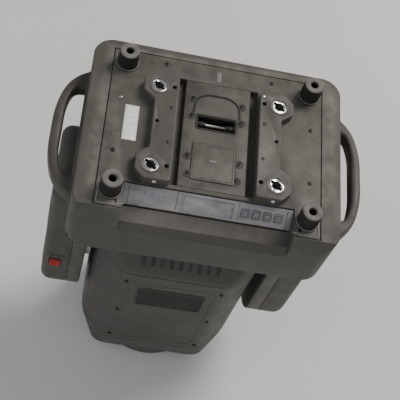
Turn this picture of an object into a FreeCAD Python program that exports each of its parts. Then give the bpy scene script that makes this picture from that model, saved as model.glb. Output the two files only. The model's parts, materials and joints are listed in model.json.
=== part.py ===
import FreeCAD, Part
import math
import os
import re

import Sketcher
from FreeCAD import Placement, Rotation, Vector

# Moving head light, hung base up. The origin is on the pan axis, in the face of the two raised
# bracket plates that take the rigging clamps. +Z points out of the base, -Z down to the lens,
# +Y to the connectors and -Y to the control panel. Every length is in millimetres. A cutter runs
# 1 mm past each face that it opens.

DIMENSIONS = {
    # base
    "base_half_x": 165.0,
    "base_half_y": 129.0,
    "base_face": -13.0,
    "base_floor": -108.0,
    "base_corner": 26.0,
    "floor_round": 7.0,
    "rim_round": 2.5,
    "wall": 4.0,
    "spare": 20.0,
    "rim_deep": 8.0,
    "seam": 1.2,
    "cover_half_x": 138.3,
    "cover_front": -117.0,
    "cover_back": 114.5,
    "sheet_metal": 3.0,
    "notch_half_x": 105.0,
    "notch_y": -80.5,
    "slope_run": 21.5,
    "ledge_y": -121.0,
    "ledge_drop": 25.0,
    "front_drop": 35.0,
    "brow_run": 3.0,
    "brow_drop": 10.0,
    "slope_wall": 6.5,
    "fascia_sink": 2.3,
    "boss_tall": 20.0,
    "boss_wall": 7.0,
    "trough_front": -78.0,
    "trough_skin": 3.0,
    # bracket plates and their quarter-turn sockets
    "plate_inner": 52.5,
    "plate_outer": 97.0,
    "plate_waist": 82.0,
    "plate_front": -79.0,
    "plate_back": 78.0,
    "plate_corner": 11.0,
    "plate_round": 1.5,
    "mount_face": 0.0,
    "socket_turn": -40.0,
    "channel_depth": 9.0,
    "panel_half_x": 42.3,
    "panel_back": 85.0,
    "waist_front": -34.0,
    "waist_front_run": 10.0,
    "waist_back": 38.0,
    "waist_back_run": 12.0,
    "plate_bend": 4.5,
    "lid_half_x": 27.5,
    "lid_front": -62.0,
    "lid_back": -9.0,
    "lid_rise": 1.2,
    "lid_lap": 2.5,
    "screw_r": 3.0,
    "screw_rise": 1.2,
    "screw_core": 1.5,
    "screw_deep": 6.0,
    "label_x": -116.0,
    "label_wide": 17.5,
    "label_front": -22.0,
    "label_back": 30.0,
    "label_thick": 0.4,
    "socket_x": 78.0,
    "socket_y": 59.0,
    "socket_body": 10.0,
    "socket_bore": 5.5,
    "socket_slot": 3.4,
    "socket_reach": 8.5,
    "vent_hole": 3.0,
    "vent_inset": 6.0,
    "vent_shift": 1.0,
    "pip_r": 2.5,
    "pip_x": 76.0,
    "pip_y": 5.0,
    "pip_floor": -8.0,
    # safety bar recess
    "eye_y": 24.0,
    "eye_half_x": 24.0,
    "eye_half_y": 9.0,
    "eye_floor": -42.0,
    "eye_bar": 3.0,
    "eye_bar_z": -20.0,
    "cup_wall": 3.0,
    # feet
    "foot_x": 121.0,
    "foot_y": 94.7,
    "foot_tall": 26.0,
    "foot_root": 15.0,
    "foot_tip": 12.5,
    "foot_bore": 4.5,
    "foot_bore_depth": 14.0,
    # handles
    "handle_reach": 203.0,
    "handle_half_y": 100.0,
    "handle_top": -43.0,
    "handle_low": -65.0,
    "handle_bend": 7.0,
    "handle_root": 12.0,
    "handle_slope": 6.0,
    "handle_turn": 10.0,
    "handle_shoulder": 0.72,
    "handle_flat": 0.36,
    "finger_inner": 169.0,
    "finger_outer": 189.0,
    "finger_half_y": 64.0,
    "finger_flat": 0.6,
    "finger_bend": 3.0,
    # control panel, measured along its slope
    "fascia_half_x": 104.6,
    "fascia_half_y": 12.9,
    "fascia_thick": 3.0,
    "fascia_margin": 7.0,
    "key_room_half": 11.0,
    "key_room_deep": 16.0,
    "window_sink": 0.4,
    "display_half_x": 31.0,
    "display_half_y": 10.0,
    "button_half": 5.2,
    "button_rise": 1.5,
    "button_first": 46.0,
    "button_pitch": 14.0,
    "collar_rim": 1.6,
    "collar_thick": 1.5,
    "gap": 0.3,
    # connectors
    "panel_half": 106.0,
    "panel_low": -99.0,
    "panel_high": -27.0,
    "connector_z": -64.0,
    "power_x": 78.0,
    "power_bore": 11.0,
    "signal_x": 42.0,
    "signal_pitch": 28.0,
    "signal_bore": 9.0,
    "flange_half": 13.0,
    "flange_half_z": 15.5,
    "flange_sink": 1.0,
    "barrel_wall": 1.5,
    "barrel_deep": 26.0,
    "mouth_deep": 20.0,
    "panel_thick": 3.0,
    "panel_lap_x": 6.0,
    "panel_lap_z": 4.0,
    # power supply and control board
    "supply_left": -130.0,
    "supply_right": -70.0,
    "supply_front": -110.0,
    "supply_back": 85.0,
    "supply_top": -58.0,
    "slot_first": -100.0,
    "slot_pitch": 16.0,
    "slot_wide": 8.0,
    "board_left": -62.0,
    "board_right": 100.0,
    "board_front": -118.0,
    "board_back": -68.0,
    "board_z": -98.0,
    "board_thick": 1.6,
    "post_r": 3.0,
    "post_inset": 6.0,
    "chip_first": -50.0,
    "chip_pitch": 34.0,
    "chip_wide": 20.0,
    "chip_front": -106.0,
    "chip_back": -88.0,
    "chip_top": -88.0,
    # pan drive
    "spindle_outer": 24.0,
    "spindle_inner": 17.0,
    "spindle_top": -62.0,
    "spindle_lip": 18.0,
    "spindle_lip_tall": 6.0,
    "bearing_tall": 17.0,
    "bearing_outer": 31.0,
    "running": 0.05,
    "pan_pulley_r": 58.0,
    "pan_pulley_low": -84.0,
    "pan_motor_x": 85.0,
    "pan_pinion_r": 9.0,
    "pan_shaft_r": 3.0,
    "pan_motor_half": 28.0,
    "pan_motor_gap": 3.0,
    "motor_plate": 3.0,
    "motor_plate_half": 34.0,
    "pulley_tall": 12.0,
    "belt_thick": 2.0,
    "pan_belt_wide": 10.0,
    "tilt_belt_wide": 8.0,
    # yoke
    "yoke_top": -114.0,
    "crossbar_split": -126.0,
    "crossbar_low": -160.0,
    "crossbar_half_y": 62.0,
    "arm_inner": 130.0,
    "arm_split": 150.0,
    "arm_outer": 190.0,
    "arm_half_y": 60.0,
    "shell": 3.5,
    "tilt_z": -348.0,
    "lock_travel": 8.0,
    "lock_half": 8.0,
    "lock_rise": 5.0,
    "lock_stem": 3.0,
    "lock_keeper": 6.0,
    "keeper_thick": 3.0,
    "pan_lock_z": -143.0,
    "tilt_lock_x": -170.0,
    "tilt_lock_z": -300.0,
    # tilt drive
    "trunnion_outer": 15.0,
    "trunnion_inner": 9.0,
    "tilt_bearing_r": 24.0,
    "tilt_pulley_r": 45.0,
    "tilt_pinion_r": 8.0,
    "tilt_pulley_x": 172.0,
    "tilt_motor_z": -240.0,
    "tilt_motor_half": 21.0,
    "tilt_motor_long": 32.0,
    "tilt_shaft_r": 2.5,
    "tilt_wheel_wide": 10.0,
    "tilt_bearing_wide": 14.0,
    "trunnion_lip": 9.0,
    "trunnion_flange": 2.3,
    "hub_wall": 6.0,
    # head, heights counted up from the tilt axis
    "head_half_x": 118.0,
    "head_half_y": 100.0,
    "head_flat_x": 75.0,
    "head_flat_y": 57.0,
    "head_rear": 172.0,
    "rear_shoulder": 132.0,
    "rear_half_x": 100.0,
    "rear_half_y": 68.0,
    "head_front": -165.0,
    "front_shoulder": -118.0,
    "front_half_x": 95.0,
    "front_half_y": 90.0,
    "bezel_front": -190.0,
    "bezel_r": 88.0,
    "lens_r": 79.7,
    "lens_lip": 5.0,
    "lens_seat": 4.0,
    "lens_thick": 8.0,
    "lens_bulge": 3.0,
    "grille_half_x": 88.0,
    "grille_half_y": 58.0,
    "grille_sink": 0.5,
    "grille_thick": 3.0,
    "grille_slot": 6.0,
    "grille_first": -82.0,
    "grille_pitch": 11.0,
    "grille_margin": 8.0,
    # head internals
    "side_plate": 108.0,
    "chassis_half_y": 50.0,
    "chassis_front": -118.0,
    "wheel_r": 58.0,
    "wheel_offset": 40.0,
    "wheel_pin": 4.0,
    "filter_r": 13.0,
    "rod_x": 60.0,
    "rod_y": 30.0,
    "rod_r": 3.0,
    "optic_plate": 4.0,
    "front_hole": 60.0,
    "mid_plate": -12.0,
    "mid_hole": 32.0,
    "wheel_plate": 13.0,
    "wheel_hole": 20.0,
    "lamp_plate": 60.0,
    "lamp_hole": 24.0,
    "gobo_level": 4.0,
    "colour_level": 24.0,
    "wheel_thick": 2.0,
    "carriage_thick": 6.0,
    "carriage_edge_x": 9.0,
    "carriage_edge_y": 12.0,
    "zoom_level": -40.0,
    "zoom_bore": 34.0,
    "focus_level": -98.0,
    "focus_bore": 38.0,
    "lamp_half": 30.0,
    "lamp_base": 5.0,
    "lamp_r": 16.0,
    "lamp_tall": 15.0,
    "sink_floor": 64.0,
    "sink_half_x": 68.0,
    "sink_base": 7.0,
    "sink_top": 156.0,
    "fin_pitch": 7.4,
    "fin_thick": 2.0,
    "fan_r": 37.0,
    "fan_z": 114.0,
    "fan_half": 42.0,
    "fan_inner": 74.0,
    "fan_outer": 98.0,
    "fan_bar_half": 5.0,
    "fan_bar_thick": 3.0,
    "duct_play": 1.5,
    "axle_r": 2.0,
    "hub_r": 13.0,
    "blade_root": 11.0,
    "blade_wide": 10.0,
    "blade_thick": 1.6,
}

UNIT_AXES = {"x": Vector(1, 0, 0), "y": Vector(0, 1, 0), "z": Vector(0, 0, 1)}
AXIS_TURNS = {"x": Rotation(Vector(0, 1, 0), 90), "y": Rotation(Vector(1, 0, 0), -90), "z": Rotation()}
FASCIA_TILT = Rotation(Vector(1, 0, 0), 45)
BUTTONS = ("menu", "down", "up", "enter")
SUPPLY_SLOTS = 11
BOARD_CHIPS = 4
GRILLE_SLOTS = 15
SINK_FINS = 14
FAN_BLADES = 7
WHEEL_WINDOWS = 8
# Screw places on the right half; the left half mirrors them.
CENTRE_SCREWS = [(32, 57), (32, 31), (33, -30), (31, -55)]
RIM_SCREWS = [(124, 40), (124, -40), (70, 104)]

doc = FreeCAD.newDocument("moving_head_light")
sub_parts = []


def fill_sheet():
    sheet = doc.addObject("Spreadsheet::Sheet", "Dims")
    for row, (alias, value) in enumerate(DIMENSIONS.items(), start=1):
        sheet.set(f"A{row}", alias)
        sheet.set(f"B{row}", str(value))
        sheet.setAlias(f"B{row}", alias)
    doc.recompute()
    return sheet


def linked(formula):
    """Write a formula of dimension names as an expression that reads the sheet."""
    def to_cell(word):
        name = word.group(0)
        return f"Dims.{name}" if name in DIMENSIONS else name
    return re.sub(r"[a-z][a-z_0-9]*", to_cell, str(formula))


def bind(thing, setting, formula):
    thing.setExpression(setting, linked(formula))


def place_at(thing, x, y, z):
    for letter, formula in zip("xyz", (x, y, z)):
        bind(thing, f"Placement.Base.{letter}", formula)


def box(name, x, y, z):
    """A box between two formulas on each axis."""
    solid = doc.addObject("Part::Box", name)
    for setting, (low, high) in zip(("Length", "Width", "Height"), (x, y, z)):
        bind(solid, setting, f"({high}) - ({low})")
    place_at(solid, x[0], y[0], z[0])
    return solid


def rod(name, axis, radius, centre, low, high):
    """A cylinder along one axis, at the other two coordinates."""
    solid = doc.addObject("Part::Cylinder", name)
    bind(solid, "Radius", radius)
    bind(solid, "Height", f"({high}) - ({low})")
    solid.Placement = Placement(Vector(), AXIS_TURNS[axis])
    corner = list(centre)
    corner.insert("xyz".index(axis), low)
    place_at(solid, *corner)
    return solid


def fuse(name, solids):
    joined = doc.addObject("Part::MultiFuse", name)
    joined.Shapes = solids
    joined.Refine = True
    return joined


def cut(name, solid, tools):
    if len(tools) == 1:
        tool = tools[0]
    else:
        tool = fuse(f"{name}_tools", tools)
    result = doc.addObject("Part::Cut", name)
    result.Base = solid
    result.Tool = tool
    return result


def common(name, solids):
    result = doc.addObject("Part::MultiCommon", name)
    result.Shapes = solids
    return result


def group(name, solids):
    result = doc.addObject("Part::Compound", name)
    result.Links = solids
    return result


def mirrored(name, source, axis="x"):
    result = doc.addObject("Part::Mirroring", name)
    result.Source = source
    result.Normal = UNIT_AXES[axis]
    return result


def ring(name, axis, outer, inner, centre, low, high):
    body = rod(f"{name}_outer", axis, outer, centre, low, high)
    hole = rod(f"{name}_inner", axis, inner, centre, f"({low}) - 1", f"({high}) + 1")
    return cut(name, body, [hole])


def origin_plane(body, role):
    return [plane for plane in body.Origin.OriginFeatures if plane.Role == role][0]


def prism(name, role, points, low, high, rounding=None):
    """Pad a closed outline of (formula, formula) points between two offsets from an origin plane."""
    body = doc.addObject("PartDesign::Body", name)
    sketch = body.newObject("Sketcher::SketchObject", f"{name}_outline")
    sketch.AttachmentSupport = [(origin_plane(body, role), "")]
    sketch.MapMode = "FlatFace"
    bind(sketch, "AttachmentOffset.Base.z", low)
    count = len(points)
    ring_points = [Vector(math.cos(2 * math.pi * i / count), math.sin(2 * math.pi * i / count), 0)
                   for i in range(count)]
    for i in range(count):
        sketch.addGeometry(Part.LineSegment(ring_points[i], ring_points[(i + 1) % count]), False)
    for i in range(count):
        sketch.addConstraint(Sketcher.Constraint("Coincident", i, 2, (i + 1) % count, 1))
    for i, point in enumerate(points):
        for kind, start, formula in zip(("DistanceX", "DistanceY"), ring_points[i], point):
            index = sketch.addConstraint(Sketcher.Constraint(kind, -1, 1, i, 1, start))
            bind(sketch, f"Constraints[{index}]", formula)
    pad = body.newObject("PartDesign::Pad", f"{name}_pad")
    pad.Profile = sketch
    bind(pad, "Length", f"({high}) - ({low})")
    if rounding is not None:
        doc.recompute()
        round_upright_edges(body, pad, rounding)
    return body


def round_upright_edges(body, pad, radius):
    """Fillet the edges that run along the pad's own direction."""
    direction = pad.Profile[0].Placement.Rotation.multVec(Vector(0, 0, 1))
    uprights = []
    for number, edge in enumerate(pad.Shape.Edges, start=1):
        along = edge.Vertexes[-1].Point - edge.Vertexes[0].Point
        if along.Length > 0 and abs(along.normalize().dot(direction)) > 0.999:
            uprights.append(f"Edge{number}")
    fillet = body.newObject("PartDesign::Fillet", f"{body.Name}_rounding")
    fillet.Base = (pad, uprights)
    bind(fillet, "Radius", radius)


def round_level_edges(body, level, radius):
    """Fillet the edges of a body that lie at one height."""
    doc.recompute()
    height = sheet_value(level)
    solid = body.Tip
    rim = [f"Edge{number}" for number, edge in enumerate(solid.Shape.Edges, start=1)
           if abs(edge.BoundBox.ZMin - height) < 0.01 and abs(edge.BoundBox.ZMax - height) < 0.01]
    fillet = body.newObject("PartDesign::Fillet", f"{body.Name}_{level}_fillet")
    fillet.Base = (solid, rim)
    bind(fillet, "Radius", radius)


def keep(thing, label):
    """Mark an object as a sub-part: its label names the file."""
    thing.Label = label
    sub_parts.append(thing)
    return thing


def both_signs(name, make_one):
    """Build four copies of a piece, one in each corner."""
    return [make_one(f"{name}_{number}", x_sign, y_sign)
            for number, (x_sign, y_sign) in enumerate(((-1, -1), (1, -1), (-1, 1), (1, 1)))]


# ---------------------------------------------------------------- base casings

def rectangle(half_x, low_y, high_y):
    return [(f"-({half_x})", low_y), (half_x, low_y), (half_x, high_y), (f"-({half_x})", high_y)]


def base_housing():
    outer = prism("housing_block", "XY_Plane", rectangle("base_half_x", "-base_half_y", "base_half_y"),
                  "base_floor", "base_face", rounding="base_corner")
    round_level_edges(outer, "base_floor", "floor_round")
    round_level_edges(outer, "base_face", "rim_round")
    slope_low = "base_face - slope_run"
    wedge = prism("housing_wedge", "YZ_Plane", [
        ("-base_half_y - spare", "spare"),
        ("notch_y + fascia_sink", "spare"),
        ("notch_y + fascia_sink", "base_face - fascia_sink"),
        ("notch_y - slope_run + fascia_sink", f"{slope_low} - fascia_sink"),
        ("notch_y - slope_run", slope_low),
        ("ledge_y", "base_face - ledge_drop"),
        ("-base_half_y", "base_face - front_drop"),
        ("-base_half_y - spare", "base_face - front_drop"),
    ], "-notch_half_x", "notch_half_x")
    brow_y = "cover_front - seam - 1"
    brow = prism("housing_brow", "YZ_Plane", [
        ("-base_half_y - spare", "spare"),
        (brow_y, "spare"),
        (brow_y, "base_face"),
        ("-base_half_y + brow_run", "base_face - brow_drop"),
        ("-base_half_y", "base_face - ledge_drop"),
        ("-base_half_y - spare", "base_face - ledge_drop"),
    ], "-base_half_x - 1", "base_half_x + 1")
    cavity = prism("housing_cavity", "YZ_Plane", [
        ("notch_y + slope_wall", "spare"),
        ("notch_y + slope_wall", "base_face - slope_wall"),
        ("notch_y - slope_run + slope_wall", f"{slope_low} - slope_wall"),
        ("ledge_y + 1", "base_face - ledge_drop - slope_wall"),
        ("-base_half_y + wall", "base_face - front_drop - wall"),
        ("-base_half_y + wall", "base_floor + wall"),
        ("base_half_y - wall", "base_floor + wall"),
        ("base_half_y - wall", "base_face - rim_deep"),
        ("cover_back - wall", "base_face - rim_deep"),
        ("cover_back - wall", "spare"),
    ], "-cover_half_x + wall", "cover_half_x - wall")
    seat = box("housing_cover_seat", ("-cover_half_x - seam", "cover_half_x + seam"),
               ("cover_front - seam", "cover_back + seam"), ("base_face - sheet_metal", "base_face + 1"))
    trough_half = "plate_inner + trough_skin + gap"
    trough_gap = box("housing_trough_gap", (f"-({trough_half})", trough_half),
                     ("trough_front - gap", "notch_y + rim_deep"),
                     ("base_face - channel_depth - wall", "base_face + 1"))
    spindle_hole = rod("housing_spindle_hole", "z", "bearing_outer", ("0", "0"), "base_floor - 1",
                       "base_floor + boss_tall + 1")
    window = box("housing_window", ("-panel_half + panel_lap_x", "panel_half - panel_lap_x"),
                 ("base_half_y - wall - 1", "base_half_y + 1"),
                 ("panel_low + panel_lap_z", "panel_high - panel_lap_z"))
    behind_fascia = box("housing_fascia_gap", ("-fascia_half_x + fascia_margin", "fascia_half_x - fascia_margin"),
                        ("-key_room_half", "key_room_half"), ("-key_room_deep", "-fascia_thick + gap"))
    behind_fascia.Placement = Placement(Vector(), FASCIA_TILT)
    seat_on_slope(behind_fascia, "-fascia_half_x + fascia_margin", "-key_room_half", "-key_room_deep")
    boss = rod("housing_boss", "z", "bearing_outer + boss_wall", ("0", "0"), "base_floor + 1",
               "base_floor + boss_tall")
    hollow = cut("housing_hollow", outer, [wedge, brow, cavity, seat, trough_gap])
    with_boss = fuse("housing_with_boss", [hollow, boss])
    keep(cut("housing", with_boss, [spindle_hole, window, behind_fascia]), "base_housing")


def seat_on_slope(thing, x, up, out):
    """Place an object's corner in the control panel's own frame, whose origin is mid-slope."""
    half = math.sqrt(0.5)
    place_at(thing, x, f"notch_y - slope_run / 2 + ({up}) * {half} - ({out}) * {half}",
             f"base_face - slope_run / 2 + ({up}) * {half} + ({out}) * {half}")


def bottom_cover():
    skin = box("cover_skin", ("-cover_half_x", "cover_half_x"), ("cover_front", "cover_back"),
               ("base_face - sheet_metal", "base_face"))
    trough = box("cover_trough", ("-plate_inner - trough_skin", "plate_inner + trough_skin"),
                 ("trough_front", "panel_back + gap + trough_skin"),
                 ("base_face - channel_depth - sheet_metal", "base_face"))
    notch = box("cover_notch", ("-notch_half_x - gap", "notch_half_x + gap"), ("cover_front - 1", "notch_y"),
                ("base_face - channel_depth", "base_face + 1"))
    hollow = box("cover_hollow", ("-plate_inner", "plate_inner"),
                 ("trough_front + trough_skin", "panel_back + gap"),
                 ("base_face - channel_depth", "base_face + 1"))
    rim = "cup_wall + 1"
    cup_hole = box("cover_cup_hole", (f"-eye_half_x - ({rim})", f"eye_half_x + {rim}"),
                   (f"eye_y - eye_half_y - ({rim})", f"eye_y + eye_half_y + {rim}"),
                   ("base_face - spare", "base_face"))
    keep(cut("cover", fuse("cover_pressing", [skin, trough]), [notch, hollow, cup_hole]), "bottom_cover")


def centre_cover():
    front = "trough_front + trough_skin + gap"
    lid = box("centre_lid", ("-panel_half_x", "panel_half_x"), (front, "panel_back"),
              ("base_face - channel_depth", "base_face"))
    hollow = box("centre_hollow", ("-panel_half_x + sheet_metal", "panel_half_x - sheet_metal"),
                 (f"{front} + sheet_metal", "panel_back - sheet_metal"),
                 ("base_face - channel_depth - 1", "base_face - sheet_metal"))
    cup = box("centre_cup", ("-eye_half_x - cup_wall", "eye_half_x + cup_wall"),
              ("eye_y - eye_half_y - cup_wall", "eye_y + eye_half_y + cup_wall"),
              ("eye_floor - cup_wall", "base_face"))
    recess = box("centre_recess", ("-eye_half_x", "eye_half_x"), ("eye_y - eye_half_y", "eye_y + eye_half_y"),
                 ("eye_floor", "base_face + 1"))
    lid_hole = box("centre_lid_hole", ("-lid_half_x + lid_lap", "lid_half_x - lid_lap"),
                   ("lid_front + lid_lap", "lid_back - lid_lap"),
                   ("base_face - sheet_metal - 1", "base_face + 1"))
    shell = cut("centre_shell", lid, [hollow])
    keep(cut("centre", fuse("centre_with_cup", [shell, cup]), [recess, lid_hole]), "centre_cover")


def access_lid():
    plate = box("lid_plate", ("-lid_half_x", "lid_half_x"), ("lid_front", "lid_back"),
                ("base_face", "base_face + lid_rise"))
    inset = "(lid_lap + gap)"
    plug = box("lid_plug", (f"-lid_half_x + {inset}", f"lid_half_x - {inset}"),
               (f"lid_front + {inset}", f"lid_back - {inset}"),
               ("base_face - sheet_metal + gap", "base_face + lid_rise / 2"))
    keep(fuse("lid", [plate, plug]), "access_lid")


def bracket_plates():
    block = prism("bracket_block", "XY_Plane", [
        ("plate_inner", "plate_front"),
        ("plate_outer - plate_corner", "plate_front"),
        ("plate_outer", "plate_front + plate_corner"),
        ("plate_outer", "waist_front - waist_front_run"),
        ("plate_waist", "waist_front"),
        ("plate_waist", "waist_back"),
        ("plate_outer", "waist_back + waist_back_run"),
        ("plate_outer", "plate_back - plate_corner"),
        ("plate_outer - plate_corner", "plate_back"),
        ("plate_inner", "plate_back"),
    ], "base_face", "mount_face", rounding="plate_bend")
    round_level_edges(block, "mount_face", "plate_round")
    holes = []
    for number, y_sign in enumerate((-1, 1)):
        holes.append(rod(f"bracket_bore_{number}", "z", "socket_body", ("socket_x", f"{y_sign} * socket_y"),
                         "base_face - 1", "1"))
        holes.append(rod(f"bracket_vent_{number}", "z", "vent_hole",
                         ("plate_inner + vent_inset", f"{y_sign} * socket_y + vent_shift"),
                         "base_face + sheet_metal", "1"))
    holes.append(rod("bracket_pip", "z", "pip_r", ("pip_x", "pip_y"), "pip_floor", "1"))
    right = keep(cut("bracket_right", block, holes), "bracket_plate_right")
    keep(mirrored("bracket_left", right), "bracket_plate_left")


def quarter_turn_socket(name, x_sign, y_sign):
    centre = (f"{x_sign} * socket_x", f"{y_sign} * socket_y")
    body = rod(f"{name}_body", "z", "socket_body - running", centre, "base_face", "mount_face")
    bore = rod(f"{name}_bore", "z", "socket_bore", centre, "base_face - 1", "1")
    slot = box(f"{name}_slot", ("-socket_reach", "socket_reach"), ("-socket_slot / 2", "socket_slot / 2"),
               ("base_face - 1", "1"))
    turned = group(f"{name}_turned_slot", [slot])
    turned.Placement = Placement(Vector(), Rotation(Vector(0, 0, 1), sheet_value("socket_turn")))
    place_at(turned, *centre, "0")
    return cut(name, body, [bore, turned])


def foot(name, x_sign, y_sign):
    centre = (f"{x_sign} * foot_x", f"{y_sign} * foot_y")
    cone = doc.addObject("Part::Cone", f"{name}_cone")
    bind(cone, "Radius1", "foot_root")
    bind(cone, "Radius2", "foot_tip")
    bind(cone, "Height", "foot_tall")
    place_at(cone, *centre, "base_face")
    bore = rod(f"{name}_bore", "z", "foot_bore", centre, "base_face + foot_tall - foot_bore_depth",
               "base_face + foot_tall + 1")
    return cut(name, cone, [bore])


def handles():
    loop = prism("handle_block", "XY_Plane", [
        ("base_half_x", "-handle_half_y"),
        ("base_half_x + handle_root", "-handle_half_y + handle_slope"),
        ("handle_reach - handle_turn", "-handle_half_y * handle_shoulder"),
        ("handle_reach", "-handle_half_y * handle_flat"),
        ("handle_reach", "handle_half_y * handle_flat"),
        ("handle_reach - handle_turn", "handle_half_y * handle_shoulder"),
        ("base_half_x + handle_root", "handle_half_y - handle_slope"),
        ("base_half_x", "handle_half_y"),
    ], "handle_low", "handle_top", rounding="handle_bend")
    finger_gap = prism("handle_gap", "XY_Plane", [
        ("finger_inner", "-finger_half_y"),
        ("finger_outer - handle_slope", "-finger_half_y"),
        ("finger_outer", "-finger_half_y * finger_flat"),
        ("finger_outer", "finger_half_y * finger_flat"),
        ("finger_outer - handle_slope", "finger_half_y"),
        ("finger_inner", "finger_half_y"),
    ], "handle_low - 1", "handle_top + 1", rounding="finger_bend")
    right = keep(cut("handle_loop", loop, [finger_gap]), "handle_right")
    keep(mirrored("handle_left_loop", right), "handle_left")


def base_trim():
    keep(group("sockets", both_signs("socket", quarter_turn_socket)), "quarter_turn_sockets")
    keep(group("feet", both_signs("foot", foot)), "rubber_feet")
    keep(rod("bar", "x", "eye_bar", ("eye_y", "eye_bar_z"), "-eye_half_x", "eye_half_x"), "safety_bar")
    keep(box("label", ("label_x", "label_x + label_wide"), ("label_front", "label_back"),
             ("base_face", "base_face + label_thick")), "label_plate")


def screw(name, x, y):
    head = rod(f"{name}_head", "z", "screw_r", (x, y), "base_face", "base_face + screw_rise")
    shank = rod(f"{name}_shank", "z", "screw_core", (x, y), "base_face - screw_deep",
                "base_face + screw_rise / 2")
    return fuse(name, [head, shank])


def cover_screws():
    spots = [(x_sign * x, y) for x_sign in (-1, 1) for x, y in CENTRE_SCREWS + RIM_SCREWS]
    screws = [screw(f"screw_{number}", str(x), str(y)) for number, (x, y) in enumerate(spots)]
    keep(group("screws", screws), "cover_screws")


# ---------------------------------------------------------------- control panel

def button_x(number):
    return f"button_first + {number} * button_pitch"


def control_panel():
    face = box("fascia_face", ("-fascia_half_x", "fascia_half_x"), ("-fascia_half_y", "fascia_half_y"),
               ("-fascia_thick", "0"))
    holes = [box("fascia_display", ("-display_half_x", "display_half_x"),
                 ("-display_half_y", "display_half_y"), ("-fascia_thick - 1", "1"))]
    for number in range(len(BUTTONS)):
        centre = button_x(number)
        holes.append(box(f"fascia_hole_{number}", (f"{centre} - button_half - gap", f"{centre} + button_half + gap"),
                         ("-button_half - gap", "button_half + gap"), ("-fascia_thick - 1", "1")))
    fascia = cut("fascia", face, holes)
    fascia.Placement = Placement(Vector(), FASCIA_TILT)
    seat_on_slope(fascia, "0", "0", "0")
    keep(fascia, "control_fascia")
    window = box("window", ("-display_half_x", "display_half_x"), ("-display_half_y", "display_half_y"),
                 ("-fascia_thick", "-window_sink"))
    window.Placement = Placement(Vector(), FASCIA_TILT)
    seat_on_slope(window, "-display_half_x", "-display_half_y", "-fascia_thick")
    keep(window, "display_window")
    for number, word in enumerate(BUTTONS):
        keep(button(number), f"button_{word}")


def button(number):
    name = f"button_{number}"
    centre = button_x(number)
    cap = box(f"{name}_cap", (f"{centre} - button_half", f"{centre} + button_half"),
              ("-button_half", "button_half"), ("-fascia_thick - gap", "button_rise"))
    reach = "button_half + collar_rim"
    collar = box(f"{name}_collar", (f"{centre} - ({reach})", f"{centre} + {reach}"), (f"-({reach})", reach),
                 ("-fascia_thick - gap - collar_thick", "-fascia_thick - gap"))
    key = fuse(name, [cap, collar])
    key.Placement = Placement(Vector(), FASCIA_TILT)
    seat_on_slope(key, "0", "0", "0")
    return key


# ---------------------------------------------------------------- connectors and electronics

def connector(name, centre_x, bore):
    """A panel socket: square flange outside, round body behind, open mouth towards +Y."""
    flange = box(f"{name}_flange", (f"{centre_x} - flange_half", f"{centre_x} + flange_half"),
                 ("base_half_y - wall", "base_half_y - flange_sink"),
                 ("connector_z - flange_half_z", "connector_z + flange_half_z"))
    barrel = rod(f"{name}_barrel", "y", f"{bore} + barrel_wall", (centre_x, "connector_z"),
                 "base_half_y - barrel_deep", "base_half_y - wall / 2")
    mouth = rod(f"{name}_mouth", "y", bore, (centre_x, "connector_z"), "base_half_y - mouth_deep",
                "base_half_y + 1")
    return cut(name, fuse(f"{name}_solid", [flange, barrel]), [mouth])


def connectors():
    back = "base_half_y - wall - panel_thick"
    plate = box("panel_plate", ("-panel_half", "panel_half"), (back, "base_half_y - wall"),
                ("panel_low", "panel_high"))
    kinds = {
        "power": ("power_bore", ["-power_x", "power_x"]),
        "signal": ("signal_bore", [f"-signal_x + {number} * signal_pitch" for number in range(4)]),
    }
    holes = []
    for kind, (bore, spots) in kinds.items():
        for number, spot in enumerate(spots):
            holes.append(rod(f"panel_{kind}_hole_{number}", "y", f"{bore} + barrel_wall + gap / 3",
                             (spot, "connector_z"), f"{back} - 1", "base_half_y"))
    keep(cut("panel", plate, holes), "connector_panel")
    for kind, (bore, spots) in kinds.items():
        row = [connector(f"{kind}_{number}", spot, bore) for number, spot in enumerate(spots)]
        keep(group(kind, row), f"{kind}_sockets")


def electronics():
    case = box("supply_case", ("supply_left", "supply_right"), ("supply_front", "supply_back"),
               ("base_floor + wall", "supply_top"))
    slots = []
    for number in range(SUPPLY_SLOTS):
        start = f"slot_first + {number} * slot_pitch"
        slots.append(box(f"supply_slot_{number}", ("supply_left + wall", "supply_right - wall"),
                         (start, f"{start} + slot_wide"), ("supply_top - wall / 2", "supply_top + 1")))
    keep(cut("supply", case, slots), "power_supply")
    top = "board_z + board_thick"
    sheet = box("board_sheet", ("board_left", "board_right"), ("board_front", "board_back"), ("board_z", top))
    corners = [(x, y) for y in ("board_front + post_inset", "board_back - post_inset")
               for x in ("board_left + post_inset", "board_right - post_inset")]
    posts = [rod(f"board_post_{number}", "z", "post_r", corner, "base_floor + wall", "board_z")
             for number, corner in enumerate(corners)]
    chips = []
    for number in range(BOARD_CHIPS):
        start = f"chip_first + {number} * chip_pitch"
        chips.append(box(f"board_chip_{number}", (start, f"{start} + chip_wide"), ("chip_front", "chip_back"),
                         (top, f"chip_top - {number}")))
    keep(fuse("board", [sheet] + posts + chips), "control_board")


# ---------------------------------------------------------------- drives

def belt(name, spread, near_r, far_r, low, high, placement):
    """A flat belt round two pulleys: arcs joined by their outer tangents."""
    spread = sheet_value(spread)
    near = sheet_value(near_r) + sheet_value("gap")
    other = sheet_value(far_r) + sheet_value("gap")
    thick = sheet_value("belt_thick")
    outer = belt_face(spread, near + thick, other + thick)
    inner = belt_face(spread, near, other)
    height = sheet_value(high) - sheet_value(low)
    feature = doc.addObject("Part::Feature", name)
    feature.Shape = outer.cut(inner).extrude(Vector(0, 0, height))
    feature.Placement = placement * Placement(Vector(0, 0, sheet_value(low)), Rotation())
    return feature


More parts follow.
